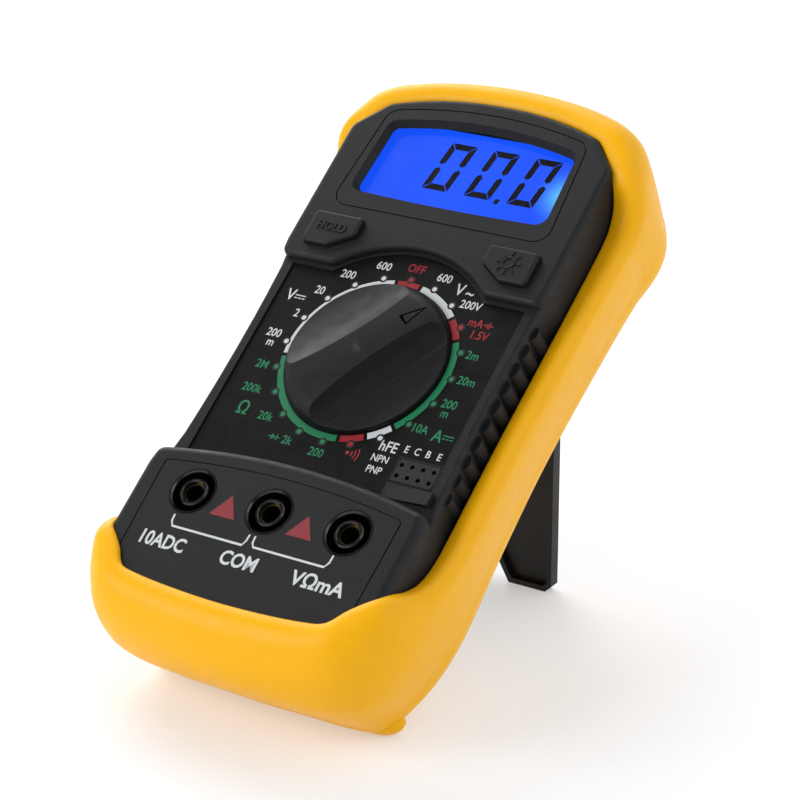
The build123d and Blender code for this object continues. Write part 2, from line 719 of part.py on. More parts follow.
with BuildPart() as light_guide:
    with Locations((-0.8, (GUIDE_LOW_Y + GLASS_HIGH_Y) / 2, GUIDE_TOP)):
        Box(
            2 * GLASS_HALF_WIDTH - 1.6,
            GLASS_HIGH_Y - GUIDE_LOW_Y,
            GUIDE_THICKNESS,
            align=(Align.CENTER, Align.CENTER, Align.MAX),
        )
    fillet(light_guide.edges().filter_by(Axis.Z), 0.6)
keep("light_guide", light_guide.part)

with BuildPart() as backlight_lamp:
    with Locations((GLASS_HALF_WIDTH - 0.75, 43.5, GUIDE_TOP)):
        Box(1.3, 5, 1.6, align=(Align.CENTER, Align.CENTER, Align.MAX))
    chamfer(backlight_lamp.edges().filter_by(Axis.Z), 0.2)
keep("backlight_lamp", backlight_lamp.part)

with BuildPart() as lcd_frame:
    frame_top = GLASS_TOP + 0.05
    frame_bottom = BOARD_TOP + RUNNING_GAP
    with Locations((0, (GLASS_LOW_Y + GLASS_HIGH_Y) / 2, frame_bottom)):
        Box(
            2 * GLASS_HALF_WIDTH + 3,
            glass_height + 2.2,
            frame_top - frame_bottom,
            align=(Align.CENTER, Align.CENTER, Align.MIN),
        )
        Box(
            2 * GLASS_HALF_WIDTH + 0.2,
            glass_height + 0.2,
            10,
            align=(Align.CENTER, Align.CENTER, Align.CENTER),
            mode=Mode.SUBTRACT,
        )
    # Feet that clip it to the board
    with Locations((0, (GLASS_LOW_Y + GLASS_HIGH_Y) / 2, frame_bottom)):
        with GridLocations(30, glass_height + 1.2, 2, 2):
            Box(4, 0.8, 2.4, align=(Align.CENTER, Align.CENTER, Align.MAX))
    # Its upper corners follow the inside of the case
    extrude(case_outline(BOARD_UNDERSIDE - 1, -WALL - 0.2), 10, mode=Mode.INTERSECT)
keep("lcd_frame", lcd_frame.part)

with BuildPart() as connector_strip:
    strip_top = GLASS_TOP - GLASS_THICKNESS - 0.05
    with Locations((0, 38.6, BOARD_TOP + RUNNING_GAP)):
        Box(44, 1.2, strip_top - BOARD_TOP - 0.1, align=(Align.CENTER, Align.CENTER, Align.MIN))
    fillet(connector_strip.edges().filter_by(Axis.X), 0.3)
keep("connector_strip", connector_strip.part)

# --- Board and what stands on it ---------------------------------------------------------------------

board_back = BOARD_UNDERSIDE - RUNNING_GAP

with BuildPart() as circuit_board:
    extrude(case_outline(BOARD_UNDERSIDE, -WALL - 0.6), BOARD_TOP - BOARD_UNDERSIDE)
    for x, y in CASE_SCREW_PLACES:
        with Locations((x, y, BOARD_TOP)):
            Cylinder(2.7, 6, mode=Mode.SUBTRACT)
    for x, y in BOARD_SCREW_PLACES:
        with Locations((x, y, BOARD_TOP)):
            Cylinder(BOARD_SCREW_RADIUS + 0.15, 6, mode=Mode.SUBTRACT)
    with Locations((0, JACK_Y, BOARD_TOP)):
        with GridLocations(JACK_SPACING, 0, 3, 1):
            Cylinder(SLEEVE_RADIUS + RUNNING_GAP, 6, mode=Mode.SUBTRACT)
    with Locations((0, (GLASS_LOW_Y + GLASS_HIGH_Y) / 2, BOARD_TOP)):
        with GridLocations(30, glass_height + 1.2, 2, 2):
            Box(4.2, 1.0, 6, mode=Mode.SUBTRACT)
keep("circuit_board", circuit_board.part)

with BuildPart() as board_screw:
    with BuildSketch(Plane.XZ):
        with BuildLine():
            head_face = BOARD_UNDERSIDE - RUNNING_GAP
            Polyline(
                (0, head_face - 1.2),
                (1.4, head_face - 1.2),
                (1.8, head_face - 0.8),
                (1.8, head_face),
                (BOARD_SCREW_RADIUS, head_face),
                (BOARD_SCREW_RADIUS, head_face + 4.2),
                (0, head_face + 4.7),
                close=True,
            )
        make_face()
    revolve(axis=Axis.Z)
    with Locations((0, 0, head_face - 1.2)):
        Box(2, 0.4, 0.8, mode=Mode.SUBTRACT)
        Box(0.4, 2, 0.8, mode=Mode.SUBTRACT)
with BuildPart() as board_screws:
    with Locations(*[(x, y, 0) for x, y in BOARD_SCREW_PLACES]):
        add(board_screw.part)
keep("board_screws", board_screws.part)

with BuildPart() as jack_shroud:
    # A cup with a tube standing in it; the plug's own sleeve goes in the ring between them
    with BuildSketch(Plane.XZ):
        with BuildLine():
            shroud_top = JACK_BLOCK_TOP + 0.1
            shroud_foot = BOARD_TOP + RUNNING_GAP
            ring_outer = SHROUD_RADIUS - 0.6
            Polyline(
                (SHROUD_MOUTH_RADIUS, SLEEVE_TOP + 0.1),
                (SHROUD_MOUTH_RADIUS, shroud_top - 0.4),
                (SHROUD_MOUTH_RADIUS + 0.2, shroud_top - 0.2),
                (SHROUD_TUBE_RADIUS - 0.3, shroud_top - 0.2),
                (SHROUD_TUBE_RADIUS, shroud_top - 0.5),
                (SHROUD_TUBE_RADIUS, shroud_foot + 1.2),
                (ring_outer, shroud_foot + 1.2),
                (ring_outer, shroud_top - 0.4),
                (ring_outer + 0.3, shroud_top),
                (SHROUD_RADIUS, shroud_top),
                (SHROUD_RADIUS, shroud_foot),
                (SLEEVE_RADIUS + RUNNING_GAP, shroud_foot),
                (SLEEVE_RADIUS + RUNNING_GAP, SLEEVE_TOP + 0.1),
                close=True,
            )
        make_face()
    revolve(axis=Axis.Z)
with BuildPart() as jack_shrouds:
    with Locations((0, JACK_Y, 0)):
        with GridLocations(JACK_SPACING, 0, 3, 1):
            add(jack_shroud.part)
keep("jack_shrouds", jack_shrouds.part)

with BuildPart() as jack_sleeves:
    with BuildSketch(Plane.XY.offset(SLEEVE_BOTTOM)):
        with Locations((0, JACK_Y)):
            with GridLocations(JACK_SPACING, 0, 3, 1):
                Circle(SLEEVE_RADIUS)
                Circle(PLUG_HOLE_RADIUS, mode=Mode.SUBTRACT)
    extrude(amount=SLEEVE_TOP - SLEEVE_BOTTOM)
keep("jack_sleeves", jack_sleeves.part)

with BuildPart() as transistor_socket:
    socket_foot = BOARD_TOP + RUNNING_GAP
    with Locations((SOCKET_X, SOCKET_Y, socket_foot)):
        Box(
            SOCKET_LENGTH,
            SOCKET_WIDTH,
            SOCKET_TOP - socket_foot,
            align=(Align.CENTER, Align.CENTER, Align.MIN),
        )
    fillet(transistor_socket.edges().filter_by(Axis.Z), 0.5)
    chamfer(transistor_socket.faces().sort_by(Axis.Z)[-1].edges(), 0.2)
    with Locations((SOCKET_X, SOCKET_Y, SOCKET_TOP)):
        with GridLocations(SOCKET_PITCH, SOCKET_PITCH, 4, 2):
            Hole(SOCKET_HOLE_RADIUS, depth=4)
keep("transistor_socket", transistor_socket.part)

with BuildPart() as fuse_tube:
    with BuildSketch(Plane.YZ.offset(-FUSE_LENGTH / 2 + 0.5)):
        with Locations((FUSE_Y, FUSE_Z)):
            Circle(FUSE_RADIUS - 0.35)
            Circle(FUSE_RADIUS - 0.9, mode=Mode.SUBTRACT)
    extrude(amount=FUSE_LENGTH - 1)
keep("fuse_tube", fuse_tube.part)

with BuildPart() as fuse_caps:
    for side in (-1, 1):
        with BuildSketch(Plane.YZ.offset(side * FUSE_LENGTH / 2)):
            with Locations((FUSE_Y, FUSE_Z)):
                Circle(FUSE_RADIUS)
        extrude(amount=-side * FUSE_CAP_LENGTH)
        with BuildSketch(Plane.YZ.offset(side * (FUSE_LENGTH / 2 - 0.4))):
            with Locations((FUSE_Y, FUSE_Z)):
                Circle(FUSE_RADIUS - 0.3)
        extrude(amount=-side * FUSE_CAP_LENGTH, mode=Mode.SUBTRACT)
keep("fuse_caps", fuse_caps.part)

with BuildPart() as fuse_clips:
    # Sprung cheeks either side of each cap, on a foot against the board
    cheek = FUSE_RADIUS + 0.15
    clip_low = FUSE_Z - 2.2
    for side in (-1, 1):
        with BuildSketch(Plane.YZ.offset(side * 5.4)):
            with Locations((FUSE_Y, clip_low)):
                Rectangle(2 * cheek + 0.8, board_back - clip_low, align=(Align.CENTER, Align.MIN))
                Rectangle(
                    2 * cheek,
                    board_back - clip_low - 0.4,
                    align=(Align.CENTER, Align.MIN),
                    mode=Mode.SUBTRACT,
                )
        extrude(amount=side * 4)
keep("fuse_clips", fuse_clips.part)

with BuildPart() as current_shunt:
    with BuildLine() as shunt_path:
        FilletPolyline(
            (-14.5, -47, board_back),
            (-14.5, -47, -13),
            (-4.5, -47, -13),
            (-4.5, -47, board_back),
            radius=1.6,
        )
    with BuildSketch(Plane(origin=(-14.5, -47, board_back), z_dir=(0, 0, -1))):
        Circle(0.8)
    sweep()
keep("current_shunt", current_shunt.part)

with BuildPart() as buzzer:
    with Locations((17.5, 45, board_back)):
        Cylinder(6.5, 4.4, align=(Align.CENTER, Align.CENTER, Align.MAX))
        Cylinder(5.2, 9.2, mode=Mode.SUBTRACT)
        Cylinder(5.25, 3.6, align=(Align.CENTER, Align.CENTER, Align.MAX))
    fillet(buzzer.faces().sort_by(Axis.Z)[0].edges(), 0.4)
keep("buzzer", buzzer.part)

with BuildPart() as processor:
    # A dome of resin over the bare chip
    blob_radius = 5.5
    blob_height = 1.8
    with BuildSketch(Plane.XZ.offset(2)):
        with BuildLine():
            Line((-21, board_back), (-21 + blob_radius, board_back))
            TangentArc((-21, board_back - blob_height), (-21 + blob_radius, board_back), tangent=(1, 0))
            Line((-21, board_back - blob_height), (-21, board_back))
        make_face()
    revolve(axis=Axis((-21, -2, 0), (0, 0, 1)))
keep("processor", processor.part)

with BuildPart() as trimmer:
    with Locations((21, -2, board_back)):
        Box(6.5, 6.5, 3.6, align=(Align.CENTER, Align.CENTER, Align.MAX))
    with Locations((21, -2, board_back - 3.6)):
        Cylinder(2.4, 0.5, align=(Align.CENTER, Align.CENTER, Align.MAX))
        Box(3.6, 0.6, 0.8, mode=Mode.SUBTRACT)
keep("trimmer", trimmer.part)

with BuildPart() as capacitors:
    with Locations(*[(x, y, board_back) for x, y in ((20.5, 19), (20.5, 25), (-21, 20))]):
        Box(7.2, 2.8, 6, align=(Align.CENTER, Align.CENTER, Align.MAX))
    fillet(capacitors.edges().filter_by(Axis.Z), 0.6)
keep("capacitors", capacitors.part)

with BuildPart() as single_resistor:
    # Body with waisted ends and straight leads, lying along X
    with BuildSketch(Plane.XY):
        with BuildLine():
            Polyline(
                (-5, 0),
                (-5, 0.3),
                (-3.1, 0.3),
                (-3.1, 1.1),
                (-2.1, 1.1),
                (-1.9, 0.95),
                (1.9, 0.95),
                (2.1, 1.1),
                (3.1, 1.1),
                (3.1, 0.3),
                (5, 0.3),
                (5, 0),
                close=True,
            )
        make_face()
    revolve(axis=Axis.X)
with BuildPart() as resistors:
    for side in (-1, 1):
        with Locations((side * 21.3, -27, board_back - 1.15)):
            with GridLocations(0, 3.2, 1, 4):
                add(single_resistor.part)
keep("resistors", resistors.part)

# --- Battery -----------------------------------------------------------------------------------------

battery_high_y = BATTERY_LOW_Y + BATTERY_BODY_LENGTH
battery_middle_z = BATTERY_TOP - BATTERY_DEPTH / 2

with BuildPart() as battery:
    with Locations((0, BATTERY_LOW_Y, battery_middle_z)):
        Box(
            BATTERY_WIDTH,
            BATTERY_BODY_LENGTH,
            BATTERY_DEPTH,
            align=(Align.CENTER, Align.MIN, Align.CENTER),
        )
    fillet(battery.edges().filter_by(Axis.Y), 2)
keep("battery", battery.part)

with BuildPart() as battery_terminals:
    for side, radius in ((-1, 2.9), (1, 3.9)):
        with BuildSketch(Plane.XZ.offset(-battery_high_y - RUNNING_GAP)):
            with Locations((side * TERMINAL_SPACING / 2, battery_middle_z)):
                Circle(radius)
        extrude(amount=-2.6)
keep("battery_terminals", battery_terminals.part)

with BuildPart() as battery_snap:
    with Locations((0, battery_high_y + 0.3, battery_middle_z)):
        Box(25.5, 4.4, 14, align=(Align.CENTER, Align.MIN, Align.CENTER))
    fillet(battery_snap.edges().filter_by(Axis.Y), 3)
    for side, radius in ((-1, 2.9), (1, 3.9)):
        with BuildSketch(Plane.XZ.offset(-battery_high_y)):
            with Locations((side * TERMINAL_SPACING / 2, battery_middle_z)):
                Circle(radius + 0.1)
        extrude(amount=-2.9, mode=Mode.SUBTRACT)
keep("battery_snap", battery_snap.part)


def battery_lead(x, level):
    """An insulated wire from the back of the snap to the board."""
    start = Vector(x, battery_high_y + 4.75, level)
    end = Vector(x, battery_high_y + 10, board_back)
    with BuildPart() as lead:
        with BuildLine():
            Spline(start, end, tangents=[(0, 1, 0), (0, 0, 1)], tangent_scalars=(1.2, 1.2))
        with BuildSketch(Plane(origin=start, z_dir=(0, 1, 0))):
            Circle(0.7)
        sweep()
    return lead.part


keep("battery_lead_red", battery_lead(-4, -13))
keep("battery_lead_black", battery_lead(4, -13))

# --- Holster and stand -------------------------------------------------------------------------------

floor_normal = Vector(0, sin(radians(LEAN_ANGLE)), cos(radians(LEAN_ANGLE)))
leg_length = FLOOR_DISTANCE + floor_normal.dot(Vector(0, STAND_HINGE_Y, STAND_HINGE_Z))
stand_foot_y = STAND_HINGE_Y - leg_length
stand_tail_y = STAND_HINGE_Y + 2.1

with BuildPart() as holster:
    # Sections round the back edge and up to the rim
    sections = []
    for angle in (0, 30, 60, 90):
        level = HOLSTER_BACK + HOLSTER_BACK_ROUNDING * (1 - cos(radians(angle)))
        shrink = HOLSTER_BACK_ROUNDING * (1 - sin(radians(angle)))
        sections.append(holster_outline(level, BACK_OUTLINE, shrink))
    sections.append(holster_outline(RIM_LEVEL, RIM_OUTLINE))
    loft(sections, ruled=True)
    extrude(holster_outline(RIM_LEVEL, RIM_OUTLINE), LIP_TOP - RIM_LEVEL + 1)
    # Everything in front of the rim
    with BuildSketch(Plane.YZ):
        with BuildLine():
            Spline(*FRONT_EDGE)
            Polyline(FRONT_EDGE[-1], (80, 20), (-80, 20), FRONT_EDGE[0])
        make_face()
    extrude(amount=60, both=True, mode=Mode.SUBTRACT)
    # The meter's place, with room for the grip ribs
    cavity_floor = CASE_BACK - HOLSTER_GAP
    add(rounded_pan(cavity_floor, LIP_UNDERSIDE, HOLSTER_GAP, CASE_BACK_ROUNDING), mode=Mode.SUBTRACT)
    with BuildSketch(Plane.XY.offset(PARTING_LEVEL)):
        with Locations((0, -5)):
            RectangleRounded(65.4, 70, 3)
    extrude(amount=LIP_UNDERSIDE - PARTING_LEVEL, mode=Mode.SUBTRACT)
    # Opening over the face, bounded below by the lip
    with BuildSketch(Plane.XY.offset(LIP_UNDERSIDE - 1)):
        with BuildLine():
            Polyline(
                (0, 80),
                (45, 80),
                (45, -50.8),
                (32.6, -51.8),
                (29.6, -54.2),
                (25.6, -59.8),
            )
            ThreePointArc((25.6, -59.8), (14, -61.0), (0, -61.6))
            mirror(about=Plane.YZ)
        make_face()
    extrude(amount=10, mode=Mode.SUBTRACT)
    # Window that the folded stand lies in, with a thumb notch at its foot
    window_low = stand_foot_y - 0.4
    window_high = stand_tail_y + 0.6
    with BuildSketch(Plane.XY.offset(HOLSTER_BACK - 1)):
        with Locations((0, (window_low + window_high) / 2)):
            Rectangle(2 * STAND_HALF_WIDTH + 0.6, window_high - window_low)
        with Locations((0, window_low)):
            Circle(7)
    extrude(amount=5, mode=Mode.SUBTRACT)
    with Locations(Location((0, STAND_HINGE_Y, STAND_HINGE_Z), (0, 90, 0))):
        Cylinder(TRUNNION_RADIUS + RUNNING_GAP, 2 * STAND_HALF_WIDTH + 4.4, mode=Mode.SUBTRACT)
    # Pads at the back corners of the foot, flat on the floor
    pad_place = Vector(0, PAD_Y, 0)
    pad_place.Z = (-FLOOR_DISTANCE - pad_place.Y * floor_normal.Y) / floor_normal.Z
    with BuildSketch(Plane(origin=pad_place, x_dir=(1, 0, 0), z_dir=floor_normal)):
        with GridLocations(PAD_SPACING, 0, 2, 1):
            RectangleRounded(5, 2.6, 1.2)
    extrude(amount=3.2, taper=-20)
keep("holster", holster.part)

with BuildPart() as kickstand:
    # Drawn folded: an open tray with two feet, its rim towards the meter
    with BuildSketch(Plane.XY.offset(STAND_OUTER)) as stand_outline:
        with BuildLine():
            Polyline(
                (0, stand_tail_y),
                (STAND_HALF_WIDTH, stand_tail_y),
                (STAND_HALF_WIDTH, stand_foot_y + 1.6),
                (STAND_HALF_WIDTH - 1.6, stand_foot_y),
                (8.4, stand_foot_y),
                (3.6, stand_foot_y + 8.5),
                (0, stand_foot_y + 8.5),
            )
            mirror(about=Plane.YZ)
        make_face()
    extrude(amount=STAND_WEB)
    with BuildSketch(Plane.XY.offset(STAND_OUTER)):
        add(stand_outline.sketch)
        offset(stand_outline.sketch, -STAND_RIM, kind=Kind.INTERSECTION, mode=Mode.SUBTRACT)
        with Locations((0, STAND_HINGE_Y + 20)):
            Rectangle(60, 40, mode=Mode.SUBTRACT)
    extrude(amount=STAND_INNER - STAND_OUTER)
    with Locations(Location((0, STAND_HINGE_Y, STAND_HINGE_Z), (0, 90, 0))):
        Cylinder(STAND_INNER - STAND_HINGE_Z, 2 * STAND_HALF_WIDTH)
        Cylinder(TRUNNION_RADIUS, 2 * STAND_HALF_WIDTH + 3.6)
hinge_axis = Axis((0, STAND_HINGE_Y, STAND_HINGE_Z), (1, 0, 0))
keep("kickstand", kickstand.part.rotate(hinge_axis, OPEN_ANGLE))

# --- Standing pose -----------------------------------------------------------------------------------

# The meter leans back until the holster's pads and the stand's feet are on the floor, and the origin
# moves to the floor under the middle of the holster, which reaches furthest both forwards and back.
lean = Location((0, 0, FLOOR_DISTANCE), (LEAN_ANGLE, 0, 0))
leaning_box = (lean * pieces["holster"]).bounding_box()
standing = Location((0, -leaning_box.center().Y, 0)) * lean

os.makedirs("parts", exist_ok=True)
for name, part in pieces.items():
    placed = standing * part
    placed.label = name
    export_step(placed, f"parts/{name}.step")
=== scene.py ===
import bmesh
import bpy
import json
from math import cos, hypot, pi, radians, sin
from mathutils import Matrix, Vector


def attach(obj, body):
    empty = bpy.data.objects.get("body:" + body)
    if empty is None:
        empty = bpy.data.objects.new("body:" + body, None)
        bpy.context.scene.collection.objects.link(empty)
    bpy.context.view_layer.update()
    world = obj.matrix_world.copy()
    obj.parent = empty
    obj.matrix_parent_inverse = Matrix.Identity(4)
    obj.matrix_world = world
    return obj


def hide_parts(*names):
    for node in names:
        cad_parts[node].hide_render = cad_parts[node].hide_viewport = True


# The multimeter's looks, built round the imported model. Shapes are drawn in the meter's own frame in
# millimetres (X right, Y up the face, Z out of the face, origin in the middle of the dial plate's
# surface) and carried to the row frame by FACE.

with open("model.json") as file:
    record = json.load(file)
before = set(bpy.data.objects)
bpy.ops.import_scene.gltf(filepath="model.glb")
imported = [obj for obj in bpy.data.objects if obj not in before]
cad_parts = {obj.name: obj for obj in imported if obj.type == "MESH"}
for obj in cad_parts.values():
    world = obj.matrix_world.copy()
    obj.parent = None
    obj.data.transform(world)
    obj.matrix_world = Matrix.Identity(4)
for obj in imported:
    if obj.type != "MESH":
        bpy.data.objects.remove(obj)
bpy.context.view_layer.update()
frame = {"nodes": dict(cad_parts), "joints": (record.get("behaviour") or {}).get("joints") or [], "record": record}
nodes = frame["nodes"]

LEAN = radians(38.5)
MM = 0.001
DIAL_CENTRE = Vector(next(j["pos_m"] for j in frame["joints"] if j["name"] == "selector_turn"))
FACE = Matrix.Translation(DIAL_CENTRE) @ Matrix.Rotation(LEAN, 4, "X") @ Matrix.Scale(MM, 4)

# --- Materials ----------------------------------------------------------------------------------------


def srgb(red, green, blue):
    """A display colour, 0 to 255, as linear RGBA."""
    channels = []
    for value in (red / 255, green / 255, blue / 255):
        channels.append(value / 12.92 if value <= 0.04045 else ((value + 0.055) / 1.055) ** 2.4)
    return (*channels, 1.0)


def new_material(name):
    """A node material with its Principled shader, ready for wiring."""
    material = bpy.data.materials.new(name)
    material.use_nodes = True
    tree = material.node_tree
    shader = next(node for node in tree.nodes if node.type == "BSDF_PRINCIPLED")
    return material, tree, shader


def noise(tree, size_mm, detail=3.0, stretch=(1, 1, 1)):
    """Noise in the object's own space whose features are about size_mm across."""
    where = tree.nodes.new("ShaderNodeTexCoord")
    scaling = tree.nodes.new("ShaderNodeMapping")
    scaling.inputs["Scale"].default_value = [factor / (size_mm * MM) for factor in stretch]
    field = tree.nodes.new("ShaderNodeTexNoise")
    field.inputs["Scale"].default_value = 1.0
    field.inputs["Detail"].default_value = detail
    tree.links.new(where.outputs["Object"], scaling.inputs["Vector"])
    tree.links.new(scaling.outputs["Vector"], field.inputs["Vector"])
    return field.outputs["Fac"]


def spread(tree, value, low, high, start=0.3, end=0.7):
    """value remapped so that start..end becomes low..high."""
    remap = tree.nodes.new("ShaderNodeMapRange")
    remap.inputs["From Min"].default_value = start
    remap.inputs["From Max"].default_value = end
    remap.inputs["To Min"].default_value = low
    remap.inputs["To Max"].default_value = high
    tree.links.new(value, remap.inputs["Value"])
    return remap.outputs["Result"]


def blend_colours(tree, value, first, second):
    """A colour running from first to second as value goes from 0 to 1."""
    mix = tree.nodes.new("ShaderNodeMix")
    mix.data_type = "RGBA"
    mix.inputs["A"].default_value = first
    mix.inputs["B"].default_value = second
    tree.links.new(value, mix.inputs["Factor"])
    return mix.outputs["Result"]


def edge_wear_and_highlight(tree, radius_mm):
    """1 on sharp outer edges and corners, 0 on flats: the mask for edges painted lighter, partly as wear and
    partly as a painted highlight.
    """
    geometry = tree.nodes.new("ShaderNodeNewGeometry")
    softened = tree.nodes.new("ShaderNodeBevel")
    softened.samples = 4
    softened.inputs["Radius"].default_value = radius_mm * MM
    turn = tree.nodes.new("ShaderNodeVectorMath")
    turn.operation = "DOT_PRODUCT"
    tree.links.new(geometry.outputs["Normal"], turn.inputs[0])
    tree.links.new(softened.outputs["Normal"], turn.inputs[1])
    return spread(tree, turn.outputs["Value"], 1.0, 0.0, 0.80, 0.98)


def surface(name, colour, roughness=0.5, variation=0.12, grain_mm=0.3, grain_depth=0.012,
            metallic=0.0, coat=0.0, subsurface=0.0, edge_light=0.0, specular=0.5, stretch=(1, 1, 1)):
    """Moulded plastic, rubber or metal: speckled colour, uneven gloss and a fine grain."""
    material, tree, shader = new_material(name)
    speckle = tree.nodes.new("ShaderNodeMix")
    speckle.inputs["Factor"].default_value = 0.7
    tree.links.new(noise(tree, 9.0, 4.0), speckle.inputs["A"])
    tree.links.new(noise(tree, grain_mm, 2.0, stretch), speckle.inputs["B"])
    darker = tuple(channel * (1 - variation) for channel in colour[:3]) + (1.0,)
    lighter = tuple(min(1.0, channel * (1 + variation)) for channel in colour[:3]) + (1.0,)
    tint = blend_colours(tree, spread(tree, speckle.outputs["Result"], 0, 1), darker, lighter)
    # Sharp edges painted lighter by edge_light: partly real wear, partly a painted highlight along each edge.
    if edge_light:
        bright = tuple(min(1.0, channel + edge_light) for channel in colour[:3]) + (1.0,)
        mix = tree.nodes.new("ShaderNodeMix")
        mix.data_type = "RGBA"
        tree.links.new(edge_wear_and_highlight(tree, 0.25), mix.inputs["Factor"])
        tree.links.new(tint, mix.inputs["A"])
        mix.inputs["B"].default_value = bright
        tint = mix.outputs["Result"]
    tree.links.new(tint, shader.inputs["Base Color"])
    smear = noise(tree, 3.0, 5.0, stretch)
    tree.links.new(spread(tree, smear, roughness - 0.07, roughness + 0.07), shader.inputs["Roughness"])
    bump = tree.nodes.new("ShaderNodeBump")
    bump.inputs["Strength"].default_value = 0.6
    bump.inputs["Distance"].default_value = grain_depth * MM
    tree.links.new(noise(tree, grain_mm, 2.0, stretch), bump.inputs["Height"])
    tree.links.new(bump.outputs["Normal"], shader.inputs["Normal"])
    shader.inputs["Metallic"].default_value = metallic
    shader.inputs["Coat Weight"].default_value = coat
    shader.inputs["Coat Roughness"].default_value = 0.15
    shader.inputs["Specular IOR Level"].default_value = specular
    if subsurface:
        shader.inputs["Subsurface Weight"].default_value = subsurface
        shader.inputs["Subsurface Radius"].default_value = (1.0, 0.5, 0.1)
        shader.inputs["Subsurface Scale"].default_value = 2.0 * MM
    return material


def clear(name, colour, roughness=0.02, opacity=0.0):
    """Clear plastic or glass, thin enough that what is behind it shows without bending."""
    material, tree, shader = new_material(name)
    tree.nodes.remove(shader)
    gloss = tree.nodes.new("ShaderNodeBsdfGlossy")
    tree.links.new(spread(tree, noise(tree, 6.0), roughness, roughness + 0.05), gloss.inputs["Roughness"])
    see_through = tree.nodes.new("ShaderNodeBsdfTransparent")
    see_through.inputs["Color"].default_value = colour
    fresnel = tree.nodes.new("ShaderNodeFresnel")
    fresnel.inputs["IOR"].default_value = 1.35
    mix = tree.nodes.new("ShaderNodeMixShader")
    tree.links.new(spread(tree, fresnel.outputs["Fac"], opacity, 0.45, 0.0, 1.0), mix.inputs["Fac"])
    tree.links.new(see_through.outputs["BSDF"], mix.inputs[1])
    tree.links.new(gloss.outputs["BSDF"], mix.inputs[2])
    output = next(node for node in tree.nodes if node.type == "OUTPUT_MATERIAL")
    tree.links.new(mix.outputs["Shader"], output.inputs["Surface"])
    return material


def face_distance(tree, x, y):
    """Distance in mm, on the face, from the point (x, y) of the meter's own frame."""
    where = tree.nodes.new("ShaderNodeTexCoord")
    shift = tree.nodes.new("ShaderNodeVectorMath")
    shift.operation = "DISTANCE"
    shift.inputs[1].default_value = FACE @ Vector((x, y, -0.8))
    tree.links.new(where.outputs["Object"], shift.inputs[0])
    scale = tree.nodes.new("ShaderNodeMath")
    scale.operation = "DIVIDE"
    scale.inputs[1].default_value = MM
    tree.links.new(shift.outputs["Value"], scale.inputs[0])
    return scale.outputs["Value"]


def lit_display(name):
    """A blue backlit panel, brightest beside its lamp at the right."""
    material, tree, shader = new_material(name)
    near_lamp = spread(tree, face_distance(tree, 23.4, 47.6), 1.0, 0.0, 0.5, 8.5)
    squared = tree.nodes.new("ShaderNodeMath")
    squared.operation = "POWER"
    squared.inputs[1].default_value = 2.2
    tree.links.new(near_lamp, squared.inputs[0])
    glow = blend_colours(tree, squared.outputs["Value"], srgb(18, 84, 255), srgb(112, 228, 255))
    far = spread(tree, face_distance(tree, 0, 48), 0.0, 1.0, 8, 34)
    falloff = blend_colours(tree, far, (1, 1, 1, 1), (0.9, 0.8, 0.86, 1))
    product = tree.nodes.new("ShaderNodeMix")
    product.data_type = "RGBA"
    product.blend_type = "MULTIPLY"
    product.inputs["Factor"].default_value = 1.0
    tree.links.new(glow, product.inputs["A"])
    tree.links.new(falloff, product.inputs["B"])
    shader.inputs["Base Color"].default_value = srgb(6, 14, 40)
    tree.links.new(spread(tree, noise(tree, 5.0), 0.12, 0.2), shader.inputs["Roughness"])
    tree.links.new(product.outputs["Result"], shader.inputs["Emission Color"])
    shader.inputs["Emission Strength"].default_value = 1.12
    return material


